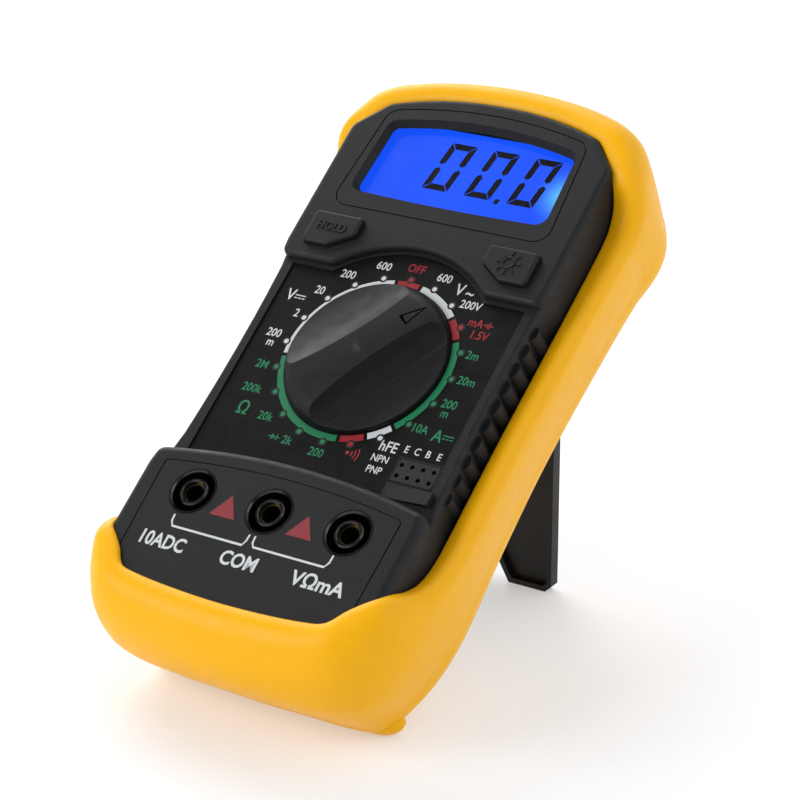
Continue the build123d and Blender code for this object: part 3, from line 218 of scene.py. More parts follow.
CHARCOAL = srgb(23, 24, 26)
looks = {
    "case_plastic": surface("case_plastic", CHARCOAL, 0.5, 0.2, 0.28, 0.02, edge_light=0.008,
                            specular=0.22),
    "key_plastic": surface("key_plastic", CHARCOAL, 0.48, 0.2, 0.28, 0.015, edge_light=0.015,
                           specular=0.22),
    "plate_print": surface("plate_print", srgb(11, 11, 12), 0.42, 0.15, 0.3, 0.004, specular=0.12),
    "knob_plastic": surface("knob_plastic", srgb(11, 11, 12), 0.46, 0.2, 0.22, 0.014, edge_light=0.02,
                            specular=0.2),
    "window_plastic": clear("window_plastic", (0.97, 0.97, 0.98, 1)),
    "lcd_lit": lit_display("lcd_lit"),
    "white_plastic": surface("white_plastic", srgb(225, 225, 220), 0.45),
    "clear_plastic": clear("clear_plastic", (0.9, 0.95, 1.0, 1), 0.1, 0.1),
    "black_plastic": surface("black_plastic", srgb(22, 22, 23), 0.35),
    "jack_plastic": surface("jack_plastic", srgb(9, 9, 9), 0.2, 0.1, 0.5, 0.003),
    "socket_plastic": surface("socket_plastic", srgb(30, 31, 32), 0.5, 0.15, 0.25, 0.012, specular=0.28),
    # The brass is painted far darker than bright brass: painted shade, so the sleeves deep in the jack holes read
    # dark.
    "brass": surface("brass", srgb(84, 70, 46), 0.4, 0.12, 0.4, 0.004, metallic=1.0, stretch=(1, 1, 0.1)),
    "nickel": surface("nickel", srgb(200, 198, 190), 0.25, 0.1, 0.4, 0.004, metallic=1.0),
    "zinc_steel": surface("zinc_steel", srgb(170, 172, 175), 0.35, 0.1, 0.4, 0.006, metallic=1.0),
    "board": surface("board", srgb(20, 95, 50), 0.4, 0.12, 0.6, 0.01, coat=0.3),
    "elastomer": surface("elastomer", srgb(225, 150, 170), 0.6),
    "fuse_glass": clear("fuse_glass", (0.95, 1, 0.98, 1), 0.02, 0.05),
    "copper_alloy": surface("copper_alloy", srgb(184, 115, 80), 0.3, metallic=1.0),
    "resin": surface("resin", srgb(12, 12, 13), 0.2, coat=0.5),
    "trimmer_plastic": surface("trimmer_plastic", srgb(35, 70, 170), 0.4),
    "film_capacitor": surface("film_capacitor", srgb(170, 45, 30), 0.3, coat=0.4),
    "resistor_body": surface("resistor_body", srgb(100, 160, 185), 0.35, coat=0.4),
    "battery_jacket": surface("battery_jacket", srgb(38, 40, 46), 0.3, coat=0.3),
    "snap_vinyl": surface("snap_vinyl", srgb(20, 20, 20), 0.5),
    "wire_red": surface("wire_red", srgb(170, 20, 18), 0.4),
    "wire_black": surface("wire_black", srgb(18, 18, 18), 0.4),
    "holster_rubber": surface("holster_rubber", srgb(238, 174, 3), 0.42, 0.04, 0.4, 0.005, subsurface=0.1,
                              specular=0.2),
    "stand_plastic": surface("stand_plastic", srgb(15, 15, 14), 0.42, 0.15, 0.35, 0.012, edge_light=0.01,
                             specular=0.3),
}

for entry in frame["record"]["subparts"]:
    mesh = nodes[entry["node"]].data
    mesh.materials.clear()
    mesh.materials.append(looks[entry["material_slot"]])

print_looks = {
    "white": surface("print_white", srgb(196, 199, 201), 0.55, 0.05, 0.3, 0.004, specular=0.3),
    "green": surface("print_green", srgb(24, 116, 76), 0.55, 0.08, 0.3, 0.004, specular=0.3),
    "red": surface("print_red", srgb(146, 27, 38), 0.55, 0.08, 0.3, 0.004, specular=0.3),
    "black": surface("print_black", srgb(19, 19, 20), 0.5, 0.08, 0.3, 0.004, specular=0.3),
}

# --- Pieces -------------------------------------------------------------------------------------------


def finish_piece(name, work, look, body, place=FACE, smooth_angle=35):
    """Turns a bmesh drawn in the meter's frame into a shown piece that rides on a body."""
    bmesh.ops.recalc_face_normals(work, faces=work.faces)
    work.transform(place)
    mesh = bpy.data.meshes.new(name)
    work.to_mesh(mesh)
    work.free()
    mesh.polygons.foreach_set("use_smooth", [True] * len(mesh.polygons))
    mesh.set_sharp_from_angle(angle=radians(smooth_angle))
    mesh.materials.append(look)
    piece = bpy.data.objects.new(name, mesh)
    bpy.context.scene.collection.objects.link(piece)
    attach(piece, body)
    return piece


def add_slab(work, outline, low, high):
    """A prism on an outline of (x, y) points, between two levels."""
    bottom = [work.verts.new((x, y, low)) for x, y in outline]
    top = [work.verts.new((x, y, high)) for x, y in outline]
    work.faces.new(bottom[::-1])
    work.faces.new(top)
    for index in range(len(outline)):
        following = (index + 1) % len(outline)
        work.faces.new((bottom[index], bottom[following], top[following], top[index]))


def add_stroke(work, path, width, low, high):
    """A flat line of constant width along (x, y) points, with square ends."""
    left, right = [], []
    for index, (x, y) in enumerate(path):
        before = path[max(index - 1, 0)]
        after = path[min(index + 1, len(path) - 1)]
        dx, dy = after[0] - before[0], after[1] - before[1]
        length = hypot(dx, dy)
        reach = width / 2
        if 0 < index < len(path) - 1:
            first = Vector((x - before[0], y - before[1])).normalized()
            second = Vector((after[0] - x, after[1] - y)).normalized()
            reach /= max(0.5, cos(first.angle(second) / 2))
        nx, ny = -dy / length * reach, dx / length * reach
        left.append((x + nx, y + ny))
        right.append((x - nx, y - ny))
    for index in range(len(path) - 1):
        quad = [left[index], right[index], right[index + 1], left[index + 1]]
        add_slab(work, quad, low, high)


def arc_points(centre, radius, start, end, steps=24):
    """Points on an arc; angles run clockwise from straight up, in degrees."""
    points = []
    for step in range(steps + 1):
        angle = radians(start + (end - start) * step / steps)
        points.append((centre[0] + radius * sin(angle), centre[1] + radius * cos(angle)))
    return points


def add_ring_arc(work, inner, outer, start, end, low, high):
    """A flat band round the dial between two radii."""
    steps = max(2, int((end - start) / 3))
    near = arc_points((0, 0), inner, start, end, steps)
    far = arc_points((0, 0), outer, start, end, steps)
    for index in range(steps):
        add_slab(work, [near[index], near[index + 1], far[index + 1], far[index]], low, high)


def add_disc(work, centre, radius, low, high):
    """A small round dot."""
    add_slab(work, arc_points(centre, radius, 0, 360, 20)[:-1], low, high)


def text_mesh(text, weight=0.0):
    """The mesh of a line of text at size 1, its strokes thickened by weight."""
    curve = bpy.data.curves.new("lettering", "FONT")
    curve.body = text
    curve.resolution_u = 3
    curve.offset = weight
    curve.extrude = 0.5
    holder = bpy.data.objects.new("lettering", curve)
    bpy.context.scene.collection.objects.link(holder)
    bpy.context.view_layer.update()
    shape = bpy.data.meshes.new_from_object(holder)
    bpy.data.objects.remove(holder)
    bpy.data.curves.remove(curve)
    return shape


def extent(mesh):
    """Lowest and highest x and y of a mesh."""
    xs = [vertex.co.x for vertex in mesh.vertices]
    ys = [vertex.co.y for vertex in mesh.vertices]
    return min(xs), max(xs), min(ys), max(ys)


capital = text_mesh("H")
CAP_HEIGHT = extent(capital)[3] - extent(capital)[2]
bpy.data.meshes.remove(capital)


def add_text(work, text, centre, height, low, high, squeeze=0.86, weight=0.012):
    """Lettering with the given capital height, centred on a point."""
    shape = text_mesh(text, weight)
    left, right, _, _ = extent(shape)
    size = height / CAP_HEIGHT
    shift = Matrix.Translation((-(left + right) / 2, -CAP_HEIGHT / 2, 0))
    scaling = Matrix.Diagonal((size * squeeze, size, high - low, 1))
    shape.transform(Matrix.Translation((centre[0], centre[1], (low + high) / 2)) @ scaling @ shift)
    work.from_mesh(shape)
    bpy.data.meshes.remove(shape)


# --- Dial prints --------------------------------------------------------------------------------------

PRINT_LOW = -0.02
PRINT_HIGH = 0.02
DOT_CIRCLE = 20.44
DOT_RADIUS = 0.55
HALO_RADIUS = 1.0
RING_INNER = 18.35
RING_OUTER = 19.85
STEP = 18
BAND_GAP = 1.2

prints = {colour: bmesh.new() for colour in print_looks}

# Each band: colour, first position, last position, counted clockwise from the top
bands = [
    ("red", 0, 0),
    ("white", 1, 2),
    ("red", 3, 3),
    ("green", 4, 7),
    ("white", 8, 8),
    ("red", 9, 9),
    ("green", 10, 14),
    ("white", 15, 19),
]
for colour, first, last in bands:
    start = (first - 0.5) * STEP + BAND_GAP
    end = (last + 0.5) * STEP - BAND_GAP
    add_ring_arc(prints[colour], RING_INNER, RING_OUTER, start, end, PRINT_LOW, PRINT_HIGH)
    for position in range(first, last + 1):
        angle = radians(position * STEP)
        centre = (DOT_CIRCLE * sin(angle), DOT_CIRCLE * cos(angle))
        add_disc(prints["black"], centre, HALO_RADIUS, PRINT_LOW, PRINT_HIGH + 0.01)
        add_disc(prints[colour], centre, DOT_RADIUS, PRINT_LOW, PRINT_HIGH + 0.02)

# Each label: colour, words, middle on the face, capital height
SMALL = 1.9
LARGE = 2.7
OHM = 3.0
TESTER = 1.6
labels = [
    ("white", "600", (-7.7, 22.4), SMALL),
    ("white", "200", (-14.8, 18.7), SMALL),
    ("white", "20", (-19.3, 13.6), SMALL),
    ("white", "2", (-21.7, 7.1), SMALL),
    ("white", "200", (-24.3, 1.4), SMALL),
    ("white", "m", (-24.0, -0.9), SMALL),
    ("white", "V", (-25.4, 11.1), LARGE),
    ("white", "600", (7.3, 22.5), SMALL),
    ("white", "V", (12.0, 20.6), LARGE),
    ("white", "~", (14.6, 20.3), LARGE),
    ("white", "200V", (16.2, 17.5), SMALL),
    ("white", "hFE", (14.9, -17.9), 2.3),
    ("white", "E", (19.0, -17.5), TESTER),
    ("white", "C", (21.5, -17.5), TESTER),
    ("white", "B", (24.1, -17.5), TESTER),
    ("white", "E", (26.7, -17.5), TESTER),
    ("white", "NPN", (14.3, -20.9), TESTER),
    ("white", "PNP", (14.3, -23.6), TESTER),
    ("red", "OFF", (0.0, 23.3), SMALL),
    ("red", "mA", (19.4, 13.8), SMALL),
    ("red", "1.5V", (21.6, 11.1), SMALL),
    ("green", "2m", (22.3, 6.3), SMALL),
    ("green", "20m", (23.9, 0.3), SMALL),
    ("green", "200", (22.9, -5.6), SMALL),
    ("green", "m", (22.9, -7.8), SMALL),
    ("green", "10A", (19.6, -12.4), SMALL),
    ("green", "A", (23.9, -13.0), LARGE),
    ("green", "200", (-0.2, -23.0), SMALL),
    ("green", "2k", (-7.9, -22.0), SMALL),
    ("green", "20k", (-15.6, -17.9), SMALL),
    ("green", "200k", (-22.2, -12.3), SMALL),
    ("green", "2M", (-23.0, -6.4), SMALL),
    ("green", "Ω", (-21.7, -17.2), OHM),
]
for colour, text, centre, height in labels:
    add_text(prints[colour], text, centre, height, PRINT_LOW, PRINT_HIGH)


SIGN_LINE = 0.24
SIGN_BAR = 0.26
SIGN_WAVE = 0.28


def add_direct_current(work, x, y, width):
    """The sign for direct current: a line over three dashes."""
    add_stroke(work, [(x, y + 0.35), (x + width, y + 0.35)], SIGN_LINE, PRINT_LOW, PRINT_HIGH)
    dash = width / 3.8
    for index in range(3):
        left = x + index * (width - dash) / 2
        add_stroke(work, [(left, y - 0.35), (left + dash, y - 0.35)], SIGN_LINE, PRINT_LOW, PRINT_HIGH)


add_direct_current(prints["white"], -24.3, 10.9, 2.6)
add_direct_current(prints["green"], 25.1, -13.0, 2.5)

# Battery sign beside mA: a short and a long plate, with a lead out to each side
for x, half in ((22.1, 0.55), (22.6, 0.85)):
    add_stroke(prints["red"], [(x, 13.7 - half), (x, 13.7 + half)], SIGN_BAR, PRINT_LOW, PRINT_HIGH)
for ends in ((21.2, 22.1), (22.6, 23.5)):
    add_stroke(prints["red"], [(x, 13.7) for x in ends], SIGN_BAR, PRINT_LOW, PRINT_HIGH)

# Diode sign beside 2k
add_stroke(prints["green"], [(-12.6, -22.0), (-9.8, -22.0)], SIGN_LINE, PRINT_LOW, PRINT_HIGH)
add_slab(prints["green"], [(-11.9, -22.7), (-10.7, -22.0), (-11.9, -21.3)], PRINT_LOW, PRINT_HIGH)
add_stroke(prints["green"], [(-10.6, -22.75), (-10.6, -21.25)], SIGN_BAR, PRINT_LOW, PRINT_HIGH)

# Buzzer sign: a dot and three widening waves
BUZZER = (6.6, -21.4)
add_disc(prints["red"], BUZZER, 0.42, PRINT_LOW, PRINT_HIGH)
for radius in (1.1, 1.9, 2.7):
    add_stroke(prints["red"], arc_points(BUZZER, radius, 60, 120, 6), SIGN_WAVE, PRINT_LOW, PRINT_HIGH)

for colour, work in prints.items():
    finish_piece(f"dial_print_{colour}", work, print_looks[colour], "meter")

# --- Jack panel prints --------------------------------------------------------------------------------

PANEL = 4.5
PANEL_LOW = PANEL - 0.02
PANEL_HIGH = PANEL + 0.03
JACK_TEXT = 3.0
JACK_TEXT_WEIGHT = 0.024
BRACKET_LINE = 0.42
TRIANGLE_HALF = 3.1
TRIANGLE_FOOT = -44.0
TRIANGLE_TIP = -38.9

panel_white = bmesh.new()
# Each label: words, middle on the panel, width against the plain lettering's
jack_labels = [("10ADC", (-19.3, -52.4), 0.84), ("COM", (-0.7, -52.1), 0.88), ("VΩmA", (18.4, -52.2), 1.0)]
for text, centre, squeeze in jack_labels:
    add_text(panel_white, text, centre, JACK_TEXT, PANEL_LOW, PANEL_HIGH, squeeze, JACK_TEXT_WEIGHT)
brackets = [
    [(-20.0, -46.1), (-19.9, -47.6), (-19.2, -48.7), (-1.9, -48.7), (-1.4, -47.6), (-1.3, -46.1)],
    [(0.1, -46.1), (0.2, -47.6), (0.8, -48.5), (17.8, -48.5), (18.5, -47.4), (18.6, -45.6)],
]
for path in brackets:
    add_stroke(panel_white, path, BRACKET_LINE, PANEL_LOW, PANEL_HIGH)
finish_piece("jack_print_white", panel_white, print_looks["white"], "meter")

panel_red = bmesh.new()
for x in (-9.6, 9.1):
    outline = [(x - TRIANGLE_HALF, TRIANGLE_FOOT), (x + TRIANGLE_HALF, TRIANGLE_FOOT), (x, TRIANGLE_TIP)]
    add_slab(panel_red, outline, PANEL_LOW, PANEL_HIGH)
triangle_look = surface("print_dark_red", srgb(128, 44, 50), 0.55, 0.08, 0.3, 0.004, specular=0.3)
finish_piece("jack_print_red", panel_red, triangle_look, "meter")

# --- Display digits -----------------------------------------------------------------------------------

GLASS = -0.8
DIGIT_LOW = GLASS - 0.03
DIGIT_HIGH = GLASS + 0.03
DIGIT_LEFTS = (-9.95, 0.6, 11.15)
DIGIT_FOOT = 43.5
DIGIT_HEIGHT = 12.4
DIGIT_WIDTH = 6.4
SEGMENT = 1.5
SLANT = 0.145
SEGMENT_GAP = 0.12
DECIMAL_POINT = ((8.3, 42.9), (9.4, 42.9), (9.4, 44.1), (8.3, 44.1))


def slanted(x, y):
    """Leans a point of the display like its digits."""
    return (x + SLANT * (y - DIGIT_FOOT), y)


def add_zero(work, left):
    """The six lit segments of a nought."""
    right = left + DIGIT_WIDTH
    low = DIGIT_FOOT
    high = DIGIT_FOOT + DIGIT_HEIGHT
    middle = (low + high) / 2
    thick = SEGMENT
    gap = SEGMENT_GAP
    shapes = []
    for edge, inner in ((high, high - thick), (low, low + thick)):
        shapes.append([
            (left + gap * 2, edge),
            (right - gap * 2, edge),
            (right - thick - gap, inner),
            (left + thick + gap, inner),
        ])
    for edge, inner in ((left, left + thick), (right, right - thick)):
        centre = (edge + inner) / 2
        for end, inwards in ((high, -1), (low, 1)):
            shapes.append([
                (edge, end + inwards * gap),
                (inner, end + inwards * (thick + gap)),
                (inner, middle - inwards * 1.0),
                (centre, middle - inwards * 0.35),
                (edge, middle - inwards * 0.9),
            ])
    for outline in shapes:
        add_slab(work, [slanted(x, y) for x, y in outline], DIGIT_LOW, DIGIT_HIGH)


digits = bmesh.new()
for left in DIGIT_LEFTS:
    add_zero(digits, left)
add_slab(digits, [slanted(x, y) for x, y in DECIMAL_POINT], DIGIT_LOW, DIGIT_HIGH)
digit_look = surface("lcd_segment", srgb(2, 2, 10), 0.4, 0.1, 0.5, 0.002, specular=0.1)
finish_piece("display_digits", digits, digit_look, "meter")

# --- Relief on the keys -------------------------------------------------------------------------------

KEY_TOP = 3.8
RELIEF_LOW = KEY_TOP - 0.05
RELIEF_HIGH = KEY_TOP + 0.22
SUN = (21.9, 26.9)
SUN_RADIUS = 1.3
SUN_LINE = 0.32
RAY_ENDS = (1.8, 2.8)
RAYS = 8

sun = bmesh.new()
add_stroke(sun, arc_points(SUN, SUN_RADIUS, 0, 360, 24), SUN_LINE, RELIEF_LOW, RELIEF_HIGH)
for ray in range(RAYS):
    angle = radians(ray * 360 / RAYS)
    ends = [(SUN[0] + reach * sin(angle), SUN[1] + reach * cos(angle)) for reach in RAY_ENDS]
    add_stroke(sun, ends, SUN_LINE, RELIEF_LOW, RELIEF_HIGH)
finish_piece("backlight_key_relief", sun, looks["key_plastic"], "backlight_key")

hold = bmesh.new()
add_text(hold, "HOLD", (-21.9, 27.0), 2.0, RELIEF_LOW, RELIEF_HIGH, 0.9)
finish_piece("hold_key_relief", hold, looks["key_plastic"], "hold_key")

# --- Holster ------------------------------------------------------------------------------------------

# Stations round the right half, from the middle of the top to the middle of the foot. Each has the inner
# rim edge, the widest outer point and the back corner (x, y each), the levels of the inner edge, the crest
# and the widest point, and how far across the rim the crest lies.
stations = [
    ((0, 65.5), (0, 72.8), (0, 71.5), 0.7, 2.0, -4.4, 0.38),
    ((9, 65.1), (9.4, 72.4), (9.1, 71.1), 0.7, 2.0, -4.4, 0.38),
    ((17.4, 63.9), (18.7, 71.1), (17.9, 69.9), 0.7, 2.1, -4.4, 0.38),
    ((23.8, 61.9), (26.8, 69.0), (25.8, 67.3), 0.7, 2.2, -4.4, 0.37),
    ((26.6, 60.5), (32.2, 66.0), (30.7, 64.3), 0.7, 2.1, -4.6, 0.37),
    ((29.0, 57.8), (35.4, 61.9), (33.8, 60.7), 0.5, 1.5, -5.0, 0.37),
    ((31.3, 55.3), (37.4, 57.1), (36.2, 56.2), 0.4, 0.7, -5.8, 0.47),
    ((32.4, 52.9), (38.25, 53.6), (36.9, 52.8), -0.9, -0.6, -7.0, 0.45),
    ((32.7, 50.6), (38.5, 50.6), (36.8, 49.8), -3.9, -3.7, -8.4, 0.44),
    ((32.7, 47.6), (38.4, 47.4), (36.3, 46.8), -6.3, -6.0, -9.6, 0.44),
    ((32.7, 42.0), (38.0, 42.0), (35.6, 41.8), -7.7, -7.4, -10.2, 0.44),
    ((32.7, 25.0), (37.2, 25.0), (34.9, 25.0), -7.7, -7.4, -10.4, 0.44),
    ((32.9, 0.0), (36.9, 0.0), (34.2, 0.0), -6.9, -6.6, -10.0, 0.44),
    ((33.0, -20.0), (37.2, -20.0), (34.4, -20.0), -6.6, -6.3, -9.8, 0.44),
    ((33.3, -31.0), (37.7, -31.0), (34.8, -31.0), -6.2, -5.8, -9.3, 0.44),
    ((33.6, -38.0), (37.9, -38.0), (35.1, -38.0), -5.4, -4.9, -8.7, 0.42),
    ((33.7, -43.0), (37.9, -43.2), (35.2, -43.0), -3.7, -3.3, -7.7, 0.4),
    ((33.6, -46.6), (37.7, -47.4), (35.0, -47.0), -0.9, -0.5, -6.9, 0.37),
    ((33.3, -49.3), (37.7, -51.6), (34.6, -50.8), 2.4, 3.0, -6.7, 0.33),
    ((32.3, -52.0), (37.4, -56.0), (33.8, -55.0), 4.7, 5.5, -7.0, 0.29),
    ((30.4, -53.8), (36.1, -60.8), (32.4, -59.4), 5.0, 6.2, -7.8, 0.26),
    ((27.9, -56.3), (33.9, -65.6), (30.4, -63.9), 5.2, 6.4, -8.8, 0.25),
    ((24.9, -59.9), (30.2, -69.6), (27.3, -67.2), 5.4, 6.5, -9.4, 0.24),
    ((20.0, -60.9), (23.3, -72.1), (21.2, -68.2), 5.1, 6.3, -8.6, 0.23),
    ((10.5, -61.6), (11.6, -73.2), (10.6, -68.4), 4.9, 6.2, -7.1, 0.22),
    ((0, -61.9), (0, -73.4), (0, -68.6), 4.9, 6.2, -6.5, 0.22),
]
# Where the case's side lies under the foot's lip, for the last stations
UNDER_LIP = [(33.5, -50.4), (33.5, -53.2), (33.0, -56.6), (31.4, -59.8), (27.4, -62.9), (20.0, -64.3),
             (10.4, -65.2), (0, -65.5)]
LIP_UNDERSIDE = 4.7
HOLSTER_BACK = -29.4
HOLSTER_FLOOR = -26.6
OUTER_ROUNDING = 6.5
INNER_ROUNDING = 5.0
WINDOW = {"half": 19.7, "low": -29.15, "high": 36.2, "notch": 7.0, "middle": 3.5}
SUBDIVISIONS = 7


def flatten(station, case_side):
    """One station as a plain list of numbers."""
    inner, outer, back, *levels = station
    return [*inner, *outer, *back, *levels, *case_side]


table = []
for index, station in enumerate(stations):
    from_end = len(stations) - index
    side = UNDER_LIP[-from_end] if from_end <= len(UNDER_LIP) else station[0]
    table.append(flatten(station, side))


def mirrored(row):
    """The same station on the left side."""
    flipped = list(row)
    for column in (0, 2, 4, 10):
        flipped[column] = -flipped[column]
    return flipped


loop_rows = table + [mirrored(row) for row in table[-2:0:-1]]


def catmull(p0, p1, p2, p3, t):
    """A smooth curve through p1 and p2."""
    return 0.5 * (
        2 * p1 + (p2 - p0) * t + (2 * p0 - 5 * p1 + 4 * p2 - p3) * t * t + (3 * p1 - p0 - 3 * p2 + p3) * t**3
    )


def smooth_rows(rows, divisions):
    """Rows interpolated smoothly round the closed loop."""
    result = []
    count = len(rows)
    for index in range(count):
        around = [rows[(index + shift) % count] for shift in (-1, 0, 1, 2)]
        for step in range(divisions):
            t = step / divisions
            result.append([catmull(*values, t) for values in zip(*around)])
    return result


def window_point(x, y):
    """The edge of the stand's window seen from its middle towards (x, y)."""
    dx, dy = x, y - WINDOW["middle"]
    reaches = []
    if dx:
        reaches.append(WINDOW["half"] / abs(dx))
    if dy > 0:
        reaches.append((WINDOW["high"] - WINDOW["middle"]) / dy)
    if dy < 0:
        reaches.append((WINDOW["middle"] - WINDOW["low"]) / -dy)
    reach = min(reaches)
    edge = Vector((dx * reach, WINDOW["middle"] + dy * reach))
    if dy < 0 and abs(edge.x) < WINDOW["notch"]:
        direction = Vector((dx, dy)).normalized()
        centre = Vector((0, WINDOW["low"] - WINDOW["middle"]))
        along = direction.dot(centre)
        across = centre.length_squared - along * along
        inside = WINDOW["notch"] ** 2 - across
        if inside > 0:
            far = direction * (along + inside**0.5)
            if far.length > (edge - Vector((0, WINDOW["middle"]))).length:
                edge = far + Vector((0, WINDOW["middle"]))
    return edge


def holster_section(row):
    """The holster's section at one station, as a closed loop of points."""
    ix, iy, rx, ry, bx, by, inner_level, crest, widest, crest_at, cx, cy = row
    inner, outer, back, side = Vector((ix, iy)), Vector((rx, ry)), Vector((bx, by)), Vector((cx, cy))
    window = window_point(bx, by)
    inward = (window - back).normalized()
    points = []

    def put(at, level):
        points.append((at.x, at.y, level))

    put(window, HOLSTER_BACK)
    put(window.lerp(back, 0.25), HOLSTER_BACK)
    corner_level = HOLSTER_BACK + OUTER_ROUNDING
    put((back + inward * OUTER_ROUNDING).lerp(window, 0.15), HOLSTER_BACK)
    for step in range(8):
        angle = radians(90 * step / 8)
        put(back + inward * OUTER_ROUNDING * (1 - sin(angle)), corner_level - OUTER_ROUNDING * cos(angle))
    knee = outer.lerp(back, 0.1)
    for step in range(9):
        t = step / 9
        spot = back.lerp(knee, t).lerp(knee.lerp(outer, t), t)
        knee_level = (corner_level + widest * 2) / 3
        level = (corner_level * (1 - t) + knee_level * t) * (1 - t) + (knee_level * (1 - t) + widest * t) * t
        put(spot, level)
    top = inner.lerp(outer, crest_at)
    for step in range(10):
        angle = radians(90 * step / 10)
        put(top.lerp(outer, cos(angle)), widest + (crest - widest) * sin(angle))
    for step in range(7):
        angle = radians(90 * step / 6)
        put(top.lerp(inner, sin(angle)), inner_level + (crest - inner_level) * cos(angle))
    under = min(LIP_UNDERSIDE, inner_level - 0.3)
    put(inner, under)
    put(side, under)
    put(side, HOLSTER_FLOOR + INNER_ROUNDING)
    for step in range(1, 5):
        angle = radians(90 * step / 4)
        spot = side + (window - side).normalized() * INNER_ROUNDING * (1 - cos(angle))
        put(spot, HOLSTER_FLOOR + INNER_ROUNDING * (1 - sin(angle)))
    put(window, HOLSTER_FLOOR)
    return points


def loft_ring(work, sections):
    """Joins closed sections, in order, into a closed ring of quads."""
    rows = [[work.verts.new(point) for point in section] for section in sections]
    for index, row in enumerate(rows):
        following = rows[(index + 1) % len(rows)]
        for spot in range(len(row)):
            after = (spot + 1) % len(row)
            work.faces.new((row[spot], row[after], following[after], following[spot]))


# Where a pad's foot stands: out from the middle, down the face and below it
PAD_PLACE = (24.7, -64.9, -29.26)
PAD_SIDES = 28
# Rings up a pad from the floor: height, half-length, half-width and how far it leans outwards
PAD_RINGS = [
    (0.0, 2.5, 1.3, 0.0),
    (0.15, 3.3, 1.9, 0.0),
    (0.6, 4.3, 2.7, 0.2),
    (1.4, 5.1, 3.4, 0.5),
    (2.6, 5.6, 3.9, 0.7),
    (4.0, 5.4, 4.0, 0.4),
    (5.5, 4.6, 3.6, -0.6),
    (7.0, 3.4, 2.8, -2.0),
]


def add_pad(work, side):
    """A small bump that swells out of one back corner, flat where it stands on the floor."""
    across, along, below = PAD_PLACE
    under = FACE @ Vector((side * across, along, below))
    place = FACE.inverted() @ Matrix.Translation((under.x, under.y, 0)) @ Matrix.Scale(MM, 4)
    rings = []
    for height, half_length, half_width, lean_out in PAD_RINGS:
        turns = [2 * pi * step / PAD_SIDES for step in range(PAD_SIDES)]
        middle = side * lean_out
        outline = [(middle + half_length * cos(turn), half_width * sin(turn), height) for turn in turns]
        rings.append([work.verts.new(place @ Vector(point)) for point in outline])
    for low, high in zip(rings, rings[1:]):
        for index in range(len(low)):
            after = (index + 1) % len(low)
            work.faces.new((low[index], low[after], high[after], high[index]))
    work.faces.new(rings[0][::-1])
    work.faces.new(rings[-1])


holster = bmesh.new()
loft_ring(holster, [holster_section(row) for row in smooth_rows(loop_rows, SUBDIVISIONS)])
for side in (-1, 1):
    add_pad(holster, side)
boot = finish_piece("holster_boot", holster, looks["holster_rubber"], "meter", smooth_angle=50)
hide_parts("holster")

# --- Floor, light and camera --------------------------------------------------------------------------

FLOOR_HALF = 3.0
floor_mesh = bpy.data.meshes.new("floor")
floor_work = bmesh.new()
bmesh.ops.create_grid(floor_work, x_segments=1, y_segments=1, size=FLOOR_HALF)
floor_work.to_mesh(floor_mesh)
floor_work.free()
floor = bpy.data.objects.new("floor", floor_mesh)
bpy.context.scene.collection.objects.link(floor)
floor_look, _, floor_shader = new_material("floor_white")
floor_shader.inputs["Base Color"].default_value = (0.60, 0.615, 0.64, 1)
floor_shader.inputs["Roughness"].default_value = 0.7
floor_shader.inputs["Specular IOR Level"].default_value = 0.2
floor_shader.inputs["Emission Color"].default_value = (1, 1, 1, 1)
floor_shader.inputs["Emission Strength"].default_value = 0.34
floor_mesh.materials.append(floor_look)

world = bpy.data.worlds.new("studio")
bpy.context.scene.world = world
world.use_nodes = True
background = world.node_tree.nodes["Background"]
background.inputs["Color"].default_value = (1.0, 1.0, 1.0, 1)

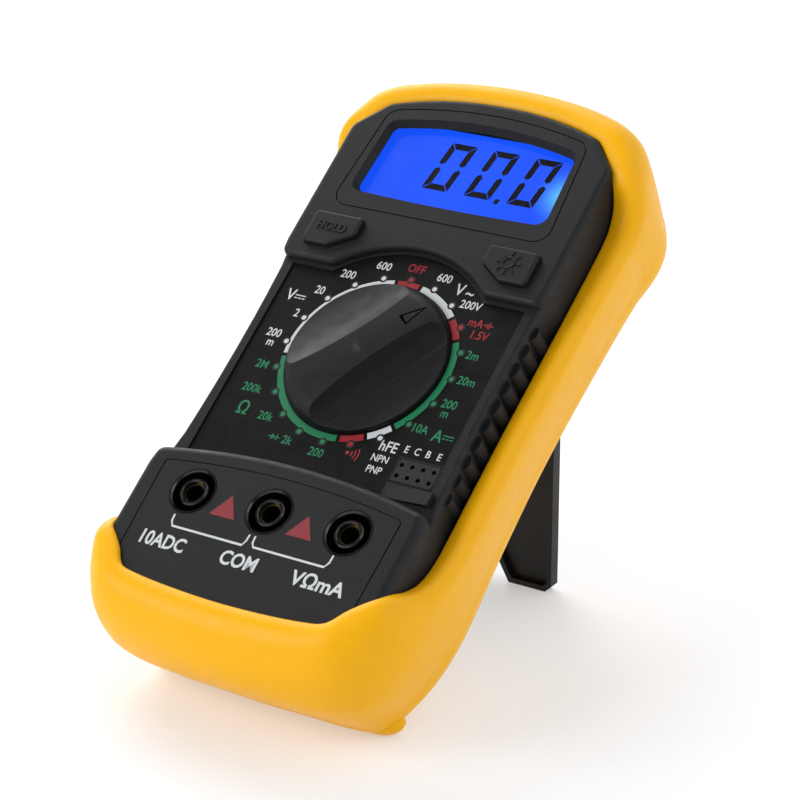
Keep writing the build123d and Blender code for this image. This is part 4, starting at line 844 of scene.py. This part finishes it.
# The studio is darker where the meter's flat face mirrors it, behind the camera and at the right
ROOM_BRIGHT = 1.3
DARK_PARTS = [((-0.524, -0.171, 0.834), 0.15), ((0.70, -0.70, 0.12), 0.3), ((0.92, 0.38, 0.1), 0.6)]
room_tree = world.node_tree
where = room_tree.nodes.new("ShaderNodeTexCoord")
strength = None
for direction, dimmed in DARK_PARTS:
    towards = room_tree.nodes.new("ShaderNodeVectorMath")
    towards.operation = "DOT_PRODUCT"
    towards.inputs[1].default_value = direction
    room_tree.links.new(where.outputs["Generated"], towards.inputs[0])
    share = spread(room_tree, towards.outputs["Value"], 1.0, dimmed, 0.45, 0.9)
    product = room_tree.nodes.new("ShaderNodeMath")
    product.operation = "MULTIPLY"
    product.inputs[1].default_value = ROOM_BRIGHT
    room_tree.links.new(share, product.inputs[0])
    if strength:
        room_tree.links.new(strength, product.inputs[1])
    strength = product.outputs["Value"]
room_tree.links.new(strength, background.inputs["Strength"])


def area_light(name, place, target, size, power):
    """A soft square light aimed at a point."""
    data = bpy.data.lights.new(name, "AREA")
    data.shape = "SQUARE"
    data.size = size
    data.energy = power
    lamp = bpy.data.objects.new(name, data)
    lamp.location = place
    lamp.rotation_euler = (Vector(target) - Vector(place)).to_track_quat("-Z", "Y").to_euler()
    bpy.context.scene.collection.objects.link(lamp)


METER_MIDDLE = (0, 0, 0.05)
area_light("key_light", (-0.7, -1.0, 0.75), METER_MIDDLE, 0.7, 10.0)
area_light("rear_light", (-0.9, 0.55, 0.9), METER_MIDDLE, 1.0, 12.0)
area_light("fill_light", (1.1, 0.1, 0.6), METER_MIDDLE, 0.8, 3.0)

# The camera, by its place on the meter's own axes and the directions of its right and its back
SENSOR_WIDTH = 36.0
LENS_LENGTH = 129.2625
CLIP_NEAR = 0.05
CLIP_FAR = 20.0
camera_data = bpy.data.cameras.new("camera")
camera_data.sensor_width = SENSOR_WIDTH
camera_data.lens = LENS_LENGTH
camera_data.clip_start = CLIP_NEAR
camera_data.clip_end = CLIP_FAR
camera = bpy.data.objects.new("camera", camera_data)
bpy.context.scene.collection.objects.link(camera)
right = Vector((0.8283, 0.5602, 0.0)).normalized()
back = Vector((0.5239, -0.7747, 0.3540)).normalized()
up = back.cross(right).normalized()
right = up.cross(back)
EYE = FACE @ Vector((313.9, -229.7, 437.8))
camera.matrix_world = Matrix.Translation(EYE) @ Matrix((right, up, back)).transposed().to_4x4()
bpy.context.scene.camera = camera
bpy.context.scene.view_settings.view_transform = "Standard"
